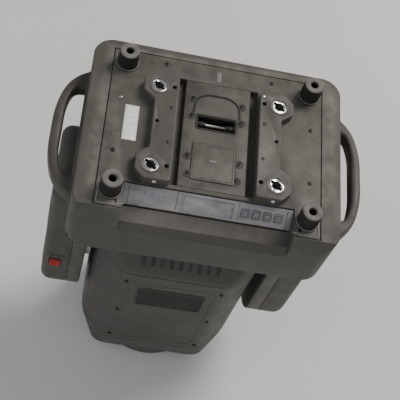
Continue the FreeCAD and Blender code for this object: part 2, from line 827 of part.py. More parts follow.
def belt_face(spread, near, far):
    lean = math.acos((near - far) / spread)
    up_near = Vector(near * math.cos(lean), near * math.sin(lean), 0)
    up_far = Vector(spread + far * math.cos(lean), far * math.sin(lean), 0)
    down_near = Vector(up_near.x, -up_near.y, 0)
    down_far = Vector(up_far.x, -up_far.y, 0)
    wire = Part.Wire([
        Part.Arc(up_near, Vector(-near, 0, 0), down_near).toShape(),
        Part.LineSegment(down_near, down_far).toShape(),
        Part.Arc(down_far, Vector(spread + far, 0, 0), up_far).toShape(),
        Part.LineSegment(up_far, up_near).toShape(),
    ])
    return Part.Face(wire)


def sheet_value(name):
    return float(dims.get(name))


def pan_drive():
    keep(ring("bearing", "z", "bearing_outer", "spindle_outer + running", ("0", "0"), "base_floor + 1",
              "base_floor + 1 + bearing_tall"), "pan_bearing")
    top = "pan_pulley_low + pulley_tall"
    plate_low = f"{top} + pan_motor_gap"
    plate_high = f"{plate_low} + motor_plate"
    body = box("pan_motor_body", ("pan_motor_x - pan_motor_half", "pan_motor_x + pan_motor_half"),
               ("-pan_motor_half", "pan_motor_half"), (plate_high, "base_face - channel_depth"))
    plate = box("pan_motor_plate", ("pan_motor_x - pan_motor_half", "cover_half_x - wall"),
                ("-motor_plate_half", "motor_plate_half"), (plate_low, plate_high))
    bore = rod("pan_motor_bore", "z", "pan_shaft_r + running", ("pan_motor_x", "0"), f"{plate_low} - 1",
               f"{top} + spare")
    keep(cut("pan_motor_solid", fuse("pan_motor_all", [body, plate]), [bore]), "pan_motor")
    wheel = rod("pan_pinion_wheel", "z", "pan_pinion_r", ("pan_motor_x", "0"), "pan_pulley_low", top)
    shaft = rod("pan_pinion_shaft", "z", "pan_shaft_r", ("pan_motor_x", "0"), "pan_pulley_low",
                f"{top} + spare - wall")
    keep(fuse("pan_pinion_solid", [wheel, shaft]), "pan_pinion")
    keep(belt("pan_loop", "pan_motor_x", "pan_pulley_r", "pan_pinion_r", "pan_belt_low", "pan_belt_high",
              Placement()), "pan_belt")


def pan_rotor():
    floor = "crossbar_low + wall"
    flange = rod("spindle_flange", "z", "spindle_outer + spindle_lip", ("0", "0"), floor,
                 f"{floor} + spindle_lip_tall")
    stem = rod("spindle_stem", "z", "spindle_outer", ("0", "0"), floor, "spindle_top")
    bore = rod("spindle_bore", "z", "spindle_inner", ("0", "0"), f"{floor} - 1", "spindle_top + 1")
    keep(cut("spindle", fuse("spindle_solid", [flange, stem]), [bore]), "pan_spindle")
    keep(ring("pulley", "z", "pan_pulley_r", "spindle_outer", ("0", "0"), "pan_pulley_low",
              "pan_pulley_low + pulley_tall"), "pan_pulley")


def tilt_drive():
    inner = "arm_inner + 1"
    outer = f"{inner} + tilt_bearing_wide"
    sides = {"left": (f"-({outer})", f"-({inner})"), "right": (inner, outer)}
    bearings = [ring(f"bearing_{word}", "x", "tilt_bearing_r", "trunnion_outer + running", ("0", "tilt_z"), *ends)
                for word, ends in sides.items()]
    keep(group("tilt_bearing_pair", bearings), "tilt_bearings")
    end = "arm_inner + wall + tilt_motor_long"
    centre = ("0", "tilt_motor_z")
    motor = box("tilt_motor_body", ("arm_inner + wall", end), ("-tilt_motor_half", "tilt_motor_half"),
                ("tilt_motor_z - tilt_motor_half", "tilt_motor_z + tilt_motor_half"))
    bore = rod("tilt_motor_bore", "x", "tilt_shaft_r + running", centre, "arm_inner + spare", f"{end} + 1")
    keep(cut("tilt_motor_solid", motor, [bore]), "tilt_motor")
    wheel_end = "tilt_pulley_x + tilt_wheel_wide"
    wheel = rod("tilt_pinion_wheel", "x", "tilt_pinion_r", centre, "tilt_pulley_x", wheel_end)
    shaft = rod("tilt_pinion_shaft", "x", "tilt_shaft_r", centre, "arm_inner + spare + wall", wheel_end)
    keep(fuse("tilt_pinion_solid", [wheel, shaft]), "tilt_pinion")
    axis_turn = Placement(Vector(0, 0, sheet_value("tilt_z")), Rotation(Vector(0, 1, 0), -90))
    keep(belt("tilt_loop", "tilt_spread", "tilt_pulley_r", "tilt_pinion_r", "tilt_belt_low",
              "tilt_belt_high", axis_turn), "tilt_belt")


def latch(name, side_face, x, z):
    """A captive sliding lock: knob outside, stem through the wall, keeper inside."""
    face = f"-({side_face})"
    knob = box(f"{name}_knob", (f"{x} - lock_half", f"{x} + lock_half"), (f"{face} - lock_rise", f"{face} - gap"),
               (f"{z} - lock_half", f"{z} + lock_half"))
    stem = box(f"{name}_stem", (f"{x} - lock_stem", f"{x} + lock_stem"), (f"{face} - 1", f"{face} + wall + 1"),
               (f"{z} - lock_stem", f"{z} + lock_stem"))
    keeper = box(f"{name}_keeper", (f"{x} - lock_keeper", f"{x} + lock_keeper"),
                 (f"{face} + wall + gap", f"{face} + wall + keeper_thick"),
                 (f"{z} - lock_keeper", f"{z} + lock_keeper"))
    return fuse(name, [knob, stem, keeper])


# ---------------------------------------------------------------- yoke

def crossbar():
    tray = box("crossbar_tray", ("-arm_inner", "arm_inner"), ("-crossbar_half_y", "crossbar_half_y"),
               ("crossbar_low", "crossbar_split"))
    hollow = box("crossbar_hollow", ("-arm_inner + wall", "arm_inner - wall"),
                 ("-crossbar_half_y + wall", "crossbar_half_y - wall"), ("crossbar_low + wall", "crossbar_split + 1"))
    reach = "lock_stem + gap"
    slot = box("crossbar_lock_slot", (f"-({reach})", f"{reach} + lock_travel"),
               ("-crossbar_half_y - 1", "-crossbar_half_y + wall + 1"),
               (f"pan_lock_z - ({reach})", f"pan_lock_z + {reach}"))
    keep(cut("crossbar_casting", tray, [hollow, slot]), "crossbar")
    lid = box("crossbar_lid", ("-arm_inner", "arm_inner"), ("-crossbar_half_y", "crossbar_half_y"),
              ("crossbar_split", "yoke_top"))
    lid_hollow = box("crossbar_lid_hollow", ("-arm_inner + shell", "arm_inner - shell"),
                     ("-crossbar_half_y + shell", "crossbar_half_y - shell"),
                     ("crossbar_split - 1", "yoke_top - shell"))
    spindle_hole = rod("crossbar_lid_hole", "z", "spindle_outer + sheet_metal", ("0", "0"), "crossbar_split",
                       "yoke_top + 1")
    keep(cut("crossbar_top", lid, [lid_hollow, spindle_hole]), "crossbar_cover")
    keep(latch("pan_latch", "crossbar_half_y", "0", "pan_lock_z"), "pan_lock")


def arm_shape(name, x, half_y, top):
    leg = box(f"{name}_leg", x, (f"-({half_y})", half_y), ("tilt_z", top))
    end = rod(f"{name}_end", "x", half_y, ("0", "tilt_z"), *x)
    return fuse(name, [leg, end])


def arms():
    casting = arm_shape("arm_casting", ("arm_inner", "arm_split"), "arm_half_y", "yoke_top")
    hollow = arm_shape("arm_hollow", ("arm_inner + wall", "arm_split + 1"), "arm_half_y - wall", "yoke_top - wall")
    boss_end = "arm_inner + 1 + tilt_bearing_wide"
    boss = rod("arm_boss", "x", "tilt_bearing_r + hub_wall", ("0", "tilt_z"), "arm_inner + 1", boss_end)
    bore = rod("arm_bore", "x", "tilt_bearing_r", ("0", "tilt_z"), "arm_inner - 1", f"{boss_end} + 1")
    frame_shell = cut("arm_frame_shell", casting, [hollow])
    right = keep(cut("arm_frame", fuse("arm_frame_bossed", [frame_shell, boss]), [bore]), "arm_frame_right")
    keep(mirrored("arm_frame_other", right), "arm_frame_left")
    cap = arm_shape("arm_cap", ("arm_split", "arm_outer"), "arm_half_y", "yoke_top")
    cap_hollow = arm_shape("arm_cap_hollow", ("arm_split - 1", "arm_outer - shell"), "arm_half_y - shell",
                           "yoke_top - shell")
    right_cap = keep(cut("arm_cover", cap, [cap_hollow]), "arm_cover_right")
    reach = "lock_stem + gap"
    slot = box("arm_lock_slot", (f"tilt_lock_x - ({reach})", f"tilt_lock_x + {reach}"),
               ("-arm_half_y - 1", "-arm_half_y + wall + 1"),
               (f"tilt_lock_z - ({reach})", f"tilt_lock_z + {reach} + lock_travel"))
    keep(cut("arm_cover_slotted", mirrored("arm_cover_other", right_cap), [slot]), "arm_cover_left")
    keep(latch("tilt_latch", "arm_half_y", "tilt_lock_x", "tilt_lock_z"), "tilt_lock")


# ---------------------------------------------------------------- head

def head_z(height):
    return f"tilt_z + ({height})"


def envelope(name, inset):
    """The head's octagonal body: an outline in each of three planes, all drawn in by one inset."""
    plan = [("head_flat_x", f"head_half_y - {inset}"), (f"head_half_x - {inset}", "head_flat_y"),
            (f"head_half_x - {inset}", "-head_flat_y"), ("head_flat_x", f"-head_half_y + {inset}"),
            ("-head_flat_x", f"-head_half_y + {inset}"), (f"-head_half_x + {inset}", "-head_flat_y"),
            (f"-head_half_x + {inset}", "head_flat_y"), ("-head_flat_x", f"head_half_y - {inset}")]
    top = head_z(f"head_rear - {inset}")
    bottom = head_z(f"head_front + {inset}")
    octagon = prism(f"{name}_plan", "XY_Plane", plan, bottom, top)
    side = tapered(f"{name}_side", "YZ_Plane", "head_half_y", "rear_half_y", "front_half_y", inset, top, bottom,
                   "head_half_x")
    front = tapered(f"{name}_front", "XZ_Plane", "head_half_x", "rear_half_x", "front_half_x", inset, top, bottom,
                    "head_half_y")
    return common(name, [octagon, side, front])


def tapered(name, role, half, rear_half, front_half, inset, top, bottom, reach):
    half = f"{half} - {inset}"
    rear_half = f"{rear_half} - {inset}"
    front_half = f"{front_half} - {inset}"
    outline = [(rear_half, top), (half, head_z("rear_shoulder")), (half, head_z("front_shoulder")),
               (front_half, bottom), (f"-({front_half})", bottom), (f"-({half})", head_z("front_shoulder")),
               (f"-({half})", head_z("rear_shoulder")), (f"-({rear_half})", top)]
    return prism(name, role, outline, f"-{reach} - 1", f"{reach} + 1")


def head_covers():
    skin = cut("head_skin", envelope("head_outer", "0"), [envelope("head_inner", "shell")])
    openings = [
        box("head_grille_hole", ("-grille_half_x", "grille_half_x"), ("-grille_half_y", "grille_half_y"),
            (head_z("head_rear - 2 * shell"), head_z("head_rear + 1"))),
        rod("head_lens_hole", "z", "lens_r", ("0", "0"), head_z("head_front - 1"), head_z("head_front + 2 * shell")),
        rod("head_trunnion_hole", "x", "trunnion_outer + 2", ("0", "tilt_z"), "-head_half_x - 1", "head_half_x + 1"),
    ]
    shell = cut("head_shell", skin, openings)
    wide = ("-head_half_x - 1", "head_half_x + 1")
    tall = (head_z("head_front - 1"), head_z("head_rear + 1"))
    near = box("head_near_half", wide, ("-head_half_y - 1", "-gap / 3"), tall)
    far = box("head_far_half", wide, ("gap / 3", "head_half_y + 1"), tall)
    keep(common("cover_near", [shell, near]), "head_cover_front")
    keep(common("cover_far", [shell, far]), "head_cover_back")


def rear_grille():
    top = head_z("head_rear - grille_sink")
    low = f"{top} - grille_thick"
    plate = box("grille_plate", ("-grille_half_x + gap / 3", "grille_half_x - gap / 3"),
                ("-grille_half_y + gap / 3", "grille_half_y - gap / 3"), (low, top))
    slots = []
    for number in range(GRILLE_SLOTS):
        start = f"grille_first + {number} * grille_pitch"
        slots.append(box(f"grille_slot_{number}", (start, f"{start} + grille_slot"),
                         ("-grille_half_y + grille_margin", "grille_half_y - grille_margin"),
                         (f"{low} - 1", f"{top} + 1")))
    keep(cut("grille", plate, slots), "rear_grille")


def front_glass():
    """The ring screwed to the front, and the lens behind its lip, its face bulging through the ring."""
    level = head_z("bezel_front + lens_seat")
    body = rod("bezel_body", "z", "bezel_r", ("0", "0"), head_z("bezel_front"), head_z("head_front"))
    seat = rod("bezel_seat", "z", "lens_r + gap / 3", ("0", "0"), level, head_z("head_front + 1"))
    mouth = rod("bezel_mouth", "z", "lens_r - lens_lip", ("0", "0"), head_z("bezel_front - 1"), head_z("head_front"))
    keep(cut("bezel", body, [seat, mouth]), "front_bezel")
    rim = rod("lens_rim", "z", "lens_r", ("0", "0"), level, f"{level} + lens_thick")
    cap_r = "(lens_r - lens_lip - gap)"
    curve = f"(({cap_r} * {cap_r} + lens_bulge * lens_bulge) / (2 * lens_bulge))"
    dome = doc.addObject("Part::Sphere", "lens_dome")
    bind(dome, "Radius", curve)
    place_at(dome, "0", "0", f"{level} - lens_bulge + {curve}")
    slab = rod("lens_slab", "z", cap_r, ("0", "0"), f"{level} - lens_seat", f"{level} + 1")
    keep(fuse("lens", [rim, common("lens_cap", [dome, slab])]), "front_lens")


def chassis():
    """Two side plates joined by four cross plates, with a pin for each wheel."""
    pieces = []
    for number, side in enumerate(("-side_plate - wall", "side_plate")):
        pieces.append(box(f"chassis_side_{number}", (side, f"{side} + wall"), ("-chassis_half_y", "chassis_half_y"),
                          (head_z("chassis_front"), head_z("sink_floor"))))
    levels = (("chassis_front", "front_hole"), ("mid_plate", "mid_hole"), ("wheel_plate", "wheel_hole"),
              ("lamp_plate", "lamp_hole"))
    for number, (level, opening) in enumerate(levels):
        plate = box(f"chassis_plate_{number}", ("-side_plate", "side_plate"), ("-chassis_half_y", "chassis_half_y"),
                    (head_z(level), head_z(f"{level} + optic_plate")))
        hole = rod(f"chassis_hole_{number}", "z", opening, ("0", "0"), head_z(f"{level} - 1"),
                   head_z(f"{level} + optic_plate + 1"))
        pieces.append(cut(f"chassis_level_{number}", plate, [hole]))
    pieces.append(rod("colour_pin", "z", "wheel_pin", ("wheel_offset", "0"), head_z("wheel_plate + 2"),
                      head_z("colour_level + wheel_thick + wall")))
    pieces.append(rod("gobo_pin", "z", "wheel_pin", ("-wheel_offset", "0"), head_z("gobo_level - wall"),
                      head_z("wheel_plate + 2")))
    keep(fuse("chassis_frame", pieces), "head_chassis")


def filter_wheel(name, x_sign, low, label):
    """A disc on a pin beside the light path, its windows passing over the optical axis."""
    centre = (f"{x_sign} * wheel_offset", "0")
    past = (head_z(f"{low} - 1"), head_z(f"{low} + wheel_thick + 1"))
    disc = rod(f"{name}_disc", "z", "wheel_r", centre, head_z(low), head_z(f"{low} + wheel_thick"))
    holes = [rod(f"{name}_pin_hole", "z", "wheel_pin + running", centre, *past)]
    for number in range(WHEEL_WINDOWS):
        turn = 360 * number / WHEEL_WINDOWS
        holes.append(rod(f"{name}_window_{number}", "z", "filter_r",
                         (f"{centre[0]} + wheel_offset * cos({turn}deg)", f"wheel_offset * sin({turn}deg)"), *past))
    keep(cut(name, disc, holes), label)


def carriage(name, low, aperture, label):
    past = (head_z(f"{low} - 1"), head_z(f"{low} + carriage_thick + 1"))
    plate = box(f"{name}_plate", ("-rod_x - carriage_edge_x", "rod_x + carriage_edge_x"),
                ("-rod_y - carriage_edge_y", "rod_y + carriage_edge_y"),
                (head_z(low), head_z(f"{low} + carriage_thick")))
    holes = [rod(f"{name}_aperture", "z", aperture, ("0", "0"), *past)]
    holes += both_signs(f"{name}_bore", lambda label, x_sign, y_sign: rod(
        label, "z", "rod_r + running", (f"{x_sign} * rod_x", f"{y_sign} * rod_y"), *past))
    keep(cut(name, plate, holes), label)


def guide_rod(name, x_sign, y_sign):
    return rod(name, "z", "rod_r", (f"{x_sign} * rod_x", f"{y_sign} * rod_y"),
               head_z("chassis_front + optic_plate"), head_z("mid_plate"))


def optics():
    filter_wheel("colour_disc", 1, "colour_level", "colour_wheel")
    filter_wheel("gobo_disc", -1, "gobo_level", "gobo_wheel")
    carriage("zoom_plate", "zoom_level", "zoom_bore", "zoom_carriage")
    carriage("focus_plate", "focus_level", "focus_bore", "focus_carriage")
    keep(group("rods", both_signs("guide_rod", guide_rod)), "guide_rods")
    base = box("led_base", ("-lamp_half", "lamp_half"), ("-lamp_half", "lamp_half"),
               (head_z("lamp_plate - lamp_base"), head_z("lamp_plate")))
    dome = rod("led_dome", "z", "lamp_r", ("0", "0"), head_z("lamp_plate - lamp_tall"),
               head_z("lamp_plate - lamp_base + 1"))
    keep(fuse("led", [base, dome]), "led_module")


def cooling():
    slab = box("sink_slab", ("-sink_half_x", "sink_half_x"), ("-chassis_half_y", "chassis_half_y"),
               (head_z("sink_floor"), head_z("sink_floor + sink_base")))
    fins = []
    for number in range(SINK_FINS):
        start = f"-chassis_half_y + 1 + {number} * fin_pitch"
        fins.append(box(f"sink_fin_{number}", ("-sink_half_x", "sink_half_x"), (start, f"{start} + fin_thick"),
                        (head_z("sink_floor + sink_base - 1"), head_z("sink_top"))))
    keep(fuse("sink", [slab] + fins), "heatsink")
    centre = ("0", head_z("fan_z"))
    case = box("fan_case", ("fan_inner", "fan_outer"), ("-fan_half", "fan_half"),
               (head_z("fan_z - fan_half"), head_z("fan_z + fan_half")))
    duct = rod("fan_duct", "x", "fan_r + duct_play", centre, "fan_inner - 1", "fan_outer + 1")
    bar = box("fan_bar", ("fan_inner", "fan_inner + fan_bar_thick"), ("-fan_bar_half", "fan_bar_half"),
              (head_z("fan_z - fan_half + 2"), head_z("fan_z + fan_half - 2")))
    stub = rod("fan_stub", "x", "hub_r - 1", centre, "fan_inner", "fan_inner + 8")
    axle = rod("fan_axle", "x", "axle_r", centre, "fan_inner + 6", "fan_outer - 2")
    right = fuse("fan_frame", [cut("fan_case_open", case, [duct]), bar, stub, axle])
    keep(group("fan_pair", [right, mirrored("fan_frame_other", right)]), "fan_frames")
    impeller = keep(fan_impeller(), "head_fan_right")
    keep(mirrored("impeller_other", impeller), "head_fan_left")


def fan_impeller():
    centre = ("0", head_z("fan_z"))
    hub = rod("impeller_hub", "x", "hub_r", centre, "fan_inner + 9", "fan_outer - 3")
    blades = []
    for number in range(FAN_BLADES):
        blade = doc.addObject("Part::Box", f"impeller_blade_{number}")
        bind(blade, "Length", "blade_wide")
        bind(blade, "Width", "blade_thick")
        bind(blade, "Height", "fan_r - blade_root")
        turn = Rotation(Vector(1, 0, 0), 360 * number / FAN_BLADES)
        start = turn.multVec(Vector(0, 0, sheet_value("blade_root")))
        blade.Placement = Placement(Vector(), turn)
        place_at(blade, "fan_inner + 10", f"{start.y}", head_z(f"fan_z + ({start.z})"))
        blades.append(blade)
    bore = rod("impeller_bore", "x", "axle_r + running", centre, "fan_inner + 8", "fan_outer - 1")
    return cut("impeller", fuse("impeller_solid", [hub] + blades), [bore])


def trunnion(name, low, high, flange):
    tube = ring(f"{name}_tube", "x", "trunnion_outer", "trunnion_inner", ("0", "tilt_z"), low, high)
    plate = ring(f"{name}_plate", "x", "trunnion_outer + trunnion_lip", "trunnion_inner", ("0", "tilt_z"), *flange)
    return fuse(name, [tube, plate])


def tilt_rotor():
    inner = "side_plate + wall"
    lip = f"{inner} + trunnion_flange"
    wheel_end = "tilt_pulley_x + tilt_wheel_wide"
    right = trunnion("trunnion_right", inner, f"{wheel_end} + 2", (inner, lip))
    left = trunnion("trunnion_left", "-arm_inner - spare", f"-({inner})", (f"-({lip})", f"-({inner})"))
    keep(group("trunnions", [left, right]), "tilt_trunnions")
    keep(ring("tilt_wheel", "x", "tilt_pulley_r", "trunnion_outer", ("0", "tilt_z"), "tilt_pulley_x", wheel_end),
         "tilt_pulley")


# ---------------------------------------------------------------- checks and export

def check_document():
    for thing in doc.Objects:
        if "Invalid" in thing.State or "Error" in thing.State:
            raise RuntimeError(f"{thing.Label} failed: {thing.State}")
    for thing in sub_parts:
        if thing.Shape.isNull() or not thing.Shape.isValid():
            raise RuntimeError(f"{thing.Label} has no valid shape")


def export_sub_parts():
    os.makedirs("parts", exist_ok=True)
    for thing in sub_parts:
        thing.Shape.exportStep(f"parts/{thing.Label}.step")
        print(f"{thing.Label}: {len(thing.Shape.Solids)} solids, {thing.Shape.Volume / 1000:.1f} cm3")


DIMENSIONS["pan_belt_low"] = DIMENSIONS["pan_pulley_low"] + 1
DIMENSIONS["pan_belt_high"] = DIMENSIONS["pan_belt_low"] + DIMENSIONS["pan_belt_wide"]
DIMENSIONS["tilt_belt_high"] = -DIMENSIONS["tilt_pulley_x"] - 1
DIMENSIONS["tilt_belt_low"] = DIMENSIONS["tilt_belt_high"] - DIMENSIONS["tilt_belt_wide"]
DIMENSIONS["tilt_spread"] = DIMENSIONS["tilt_motor_z"] - DIMENSIONS["tilt_z"]
dims = fill_sheet()
base_housing()
bottom_cover()
centre_cover()
access_lid()
bracket_plates()
base_trim()
cover_screws()
handles()
control_panel()
connectors()
electronics()
pan_drive()
pan_rotor()
tilt_drive()
crossbar()
arms()
head_covers()
rear_grille()
front_glass()
chassis()
optics()
cooling()
tilt_rotor()
doc.recompute()
check_document()
export_sub_parts()
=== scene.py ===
import json
import math

import bmesh
import bpy
from mathutils import Matrix, Vector


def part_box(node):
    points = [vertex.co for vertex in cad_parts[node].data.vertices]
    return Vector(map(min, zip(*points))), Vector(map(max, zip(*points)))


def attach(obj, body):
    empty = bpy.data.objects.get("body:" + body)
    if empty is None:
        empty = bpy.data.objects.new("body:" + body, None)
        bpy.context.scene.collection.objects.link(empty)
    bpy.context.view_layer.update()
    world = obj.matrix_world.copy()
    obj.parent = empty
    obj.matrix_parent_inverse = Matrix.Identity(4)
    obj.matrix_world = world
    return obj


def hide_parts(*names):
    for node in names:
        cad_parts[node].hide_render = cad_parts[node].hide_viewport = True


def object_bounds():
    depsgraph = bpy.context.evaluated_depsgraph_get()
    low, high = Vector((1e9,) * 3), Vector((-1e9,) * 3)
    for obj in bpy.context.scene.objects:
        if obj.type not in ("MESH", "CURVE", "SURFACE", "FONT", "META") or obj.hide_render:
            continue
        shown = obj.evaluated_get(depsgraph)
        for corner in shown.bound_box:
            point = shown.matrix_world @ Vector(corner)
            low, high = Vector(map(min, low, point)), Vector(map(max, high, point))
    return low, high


# Moving head light, base up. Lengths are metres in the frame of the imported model: +Z out of the
# base, -Y to the control panel, the origin on the pan axis in the face of the bracket plates.

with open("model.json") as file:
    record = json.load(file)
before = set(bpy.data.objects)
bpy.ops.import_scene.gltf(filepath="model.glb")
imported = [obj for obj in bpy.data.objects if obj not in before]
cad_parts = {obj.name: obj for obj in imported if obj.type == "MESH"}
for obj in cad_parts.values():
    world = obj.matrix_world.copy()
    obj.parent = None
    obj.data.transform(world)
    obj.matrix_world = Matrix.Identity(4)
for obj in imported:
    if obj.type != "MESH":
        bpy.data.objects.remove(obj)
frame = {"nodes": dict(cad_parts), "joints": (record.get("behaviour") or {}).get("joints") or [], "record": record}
cad_low, cad_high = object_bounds()
NODES = frame["nodes"]
MM = 0.001


# ---- materials

class Recipe:
    """A material being built: a Principled shader and a few helpers that add nodes to it."""

    def __init__(self, name="finish"):
        self.material = bpy.data.materials.new(name)
        self.material.use_nodes = True
        self.tree = self.material.node_tree
        self.shader = self.tree.nodes["Principled BSDF"]
        self.place = self.add("ShaderNodeTexCoord", "Object")

    def feed(self, value, target):
        """Link a socket, or set a number, a vector or a colour."""
        if isinstance(value, bpy.types.NodeSocket):
            self.tree.links.new(value, target)
        else:
            target.default_value = (*value, 1) if target.type == "RGBA" else value

    def add(self, kind, output, values=None, **settings):
        """Add a node, its settings and its inputs, and return one of its outputs."""
        node = self.tree.nodes.new(kind)
        for key, value in settings.items():
            setattr(node, key, value)
        for name, value in (values or {}).items():
            self.feed(value, node.inputs[name])
        return node.outputs[output]

    def noise(self, scale, detail=3.0, roughness=0.5, stretch=None):
        place = self.place
        if stretch:
            place = self.add("ShaderNodeMapping", "Vector", {"Scale": stretch, "Vector": place})
        values = {"Scale": scale, "Detail": detail, "Roughness": roughness, "Vector": place}
        return self.add("ShaderNodeTexNoise", "Fac", values)

    def ramp(self, value, low, high, start=0.0, end=1.0):
        """Map value from low..high to start..end, clamped."""
        values = {"From Min": low, "From Max": high, "To Min": start, "To Max": end, "Value": value}
        return self.add("ShaderNodeMapRange", "Result", values)

    def multiply(self, first, second):
        return self.add("ShaderNodeMath", "Value", {0: first, 1: second}, operation="MULTIPLY")

    def blend(self, amount, first, second):
        """Mix two colours by a mask."""
        values = {"Factor": amount, "A": first, "B": second}
        return self.add("ShaderNodeMix", "Result", values, data_type="RGBA")

    def edges(self):
        """A mask that is bright on convex edges."""
        return self.ramp(self.add("ShaderNodeNewGeometry", "Pointiness"), 0.52, 0.60)

    def facing_up(self, low=0.5, high=0.95):
        normal = self.add("ShaderNodeNewGeometry", "Normal")
        return self.ramp(self.add("ShaderNodeSeparateXYZ", "Z", {"Vector": normal}), low, high)

    def bump(self, height, strength, distance):
        values = {"Strength": strength, "Distance": distance, "Height": height}
        self.feed(self.add("ShaderNodeBump", "Normal", values), self.shader.inputs["Normal"])

    def finish(self, colour, roughness, **fixed):
        """Feed the shader's colour, its roughness, and the sockets that fixed names."""
        fixed.update(Base_Color=colour, Roughness=roughness)
        for name, value in fixed.items():
            self.feed(value, self.shader.inputs[name.replace("_", " ")])
        return self.material


def shade(colour, factor):
    return tuple(channel * factor for channel in colour)


def moulded(colour, grain=1800.0, depth=0.5, rough=(0.48, 0.66), dust=0.26, wear=2.2,
            dust_colour=(0.27, 0.255, 0.225)):
    """Moulded or powder-coated casing: fine grain, cloudy tone, worn edges and dust on top faces."""
    recipe = Recipe()
    cloudy = recipe.ramp(recipe.noise(9.0, 5.0, 0.62), 0.35, 0.7)
    speck = recipe.ramp(recipe.noise(420.0, 2.0), 0.56, 0.72)
    tone = recipe.blend(cloudy, shade(colour, 0.91), shade(colour, 1.09))
    tone = recipe.blend(recipe.multiply(speck, 0.35), tone, shade(colour, 1.7))
    worn = recipe.multiply(recipe.edges(), recipe.ramp(recipe.noise(60.0, 4.0), 0.4, 0.65, 0.15, 0.75))
    tone = recipe.blend(worn, tone, shade(colour, wear))
    patches = recipe.ramp(recipe.noise(22.0, 6.0, 0.68), 0.46, 0.78, 0.0, dust)
    settled = recipe.multiply(recipe.facing_up(), patches)
    tone = recipe.blend(settled, tone, dust_colour)
    roughness = recipe.ramp(recipe.noise(35.0, 4.0), 0.3, 0.7, *rough)
    values = {"Scale": grain, "Vector": recipe.place}
    cells = recipe.add("ShaderNodeTexVoronoi", "Distance", values, feature="SMOOTH_F1")
    recipe.bump(cells, depth, 0.00012)
    return recipe.finish(tone, roughness, Specular_IOR_Level=0.30)


def metal(colour, rough=(0.22, 0.42), streak=None, scratch=0.25, dust=0.0):
    """Bare or plated metal, with machining streaks or scuffs."""
    recipe = Recipe()
    lines = recipe.noise(260.0, 6.0, 0.7, streak or (1.0, 1.0, 14.0))
    tone = recipe.blend(recipe.ramp(lines, 0.3, 0.7), shade(colour, 0.80), shade(colour, 1.08))
    grime = recipe.ramp(recipe.noise(75.0, 5.0), 0.52, 0.75, 0.0, 0.45 + dust)
    tone = recipe.blend(grime, tone, shade(colour, 0.42))
    roughness = recipe.ramp(lines, 0.25, 0.75, *rough)
    recipe.bump(lines, scratch, 0.00008)
    return recipe.finish(tone, roughness, Metallic=1.0)


def rubber(colour, dust=0.6, dust_colour=(0.34, 0.325, 0.30)):
    recipe = Recipe()
    cloudy = recipe.ramp(recipe.noise(48.0, 5.0), 0.35, 0.7)
    tone = recipe.blend(cloudy, shade(colour, 0.75), shade(colour, 1.25))
    patches = recipe.ramp(recipe.noise(110.0, 5.0), 0.3, 0.7, 0.5, dust)
    settled = recipe.multiply(recipe.facing_up(0.15, 0.9), patches)
    tone = recipe.blend(settled, tone, dust_colour)
    roughness = recipe.ramp(recipe.noise(240.0, 3.0), 0.3, 0.7, 0.72, 0.95)
    recipe.bump(recipe.noise(2600.0, 2.0), 0.35, 0.00010)
    return recipe.finish(tone, roughness, Specular_IOR_Level=0.3)


def glossy(colour, rough=(0.12, 0.30), smear=0.22, dust_colour=(0.42, 0.43, 0.45), coat=0.4):
    """Glossy moulding or printed film, with smears and a little dust."""
    recipe = Recipe()
    cloudy = recipe.ramp(recipe.noise(30.0, 5.0, 0.65, (1.0, 3.0, 3.0)), 0.42, 0.74, 0.0, smear)
    tone = recipe.blend(cloudy, colour, dust_colour)
    roughness = recipe.ramp(recipe.noise(55.0, 5.0), 0.3, 0.7, *rough)
    recipe.bump(recipe.noise(900.0, 2.0), 0.08, 0.00006)
    return recipe.finish(tone, roughness, Coat_Weight=coat, Coat_Roughness=0.12)


def clear_glass(tint):
    """Coated front glass over a dark optic: smooth, faintly tinted, with dust."""
    recipe = Recipe()
    dusty = recipe.ramp(recipe.noise(95.0, 6.0, 0.7), 0.55, 0.8, 0.0, 0.35)
    tone = recipe.blend(dusty, tint, (0.55, 0.56, 0.58))
    roughness = recipe.ramp(recipe.noise(95.0, 6.0, 0.7), 0.5, 0.8, 0.03, 0.30)
    return recipe.finish(tone, roughness, Transmission_Weight=0.92, IOR=1.5)


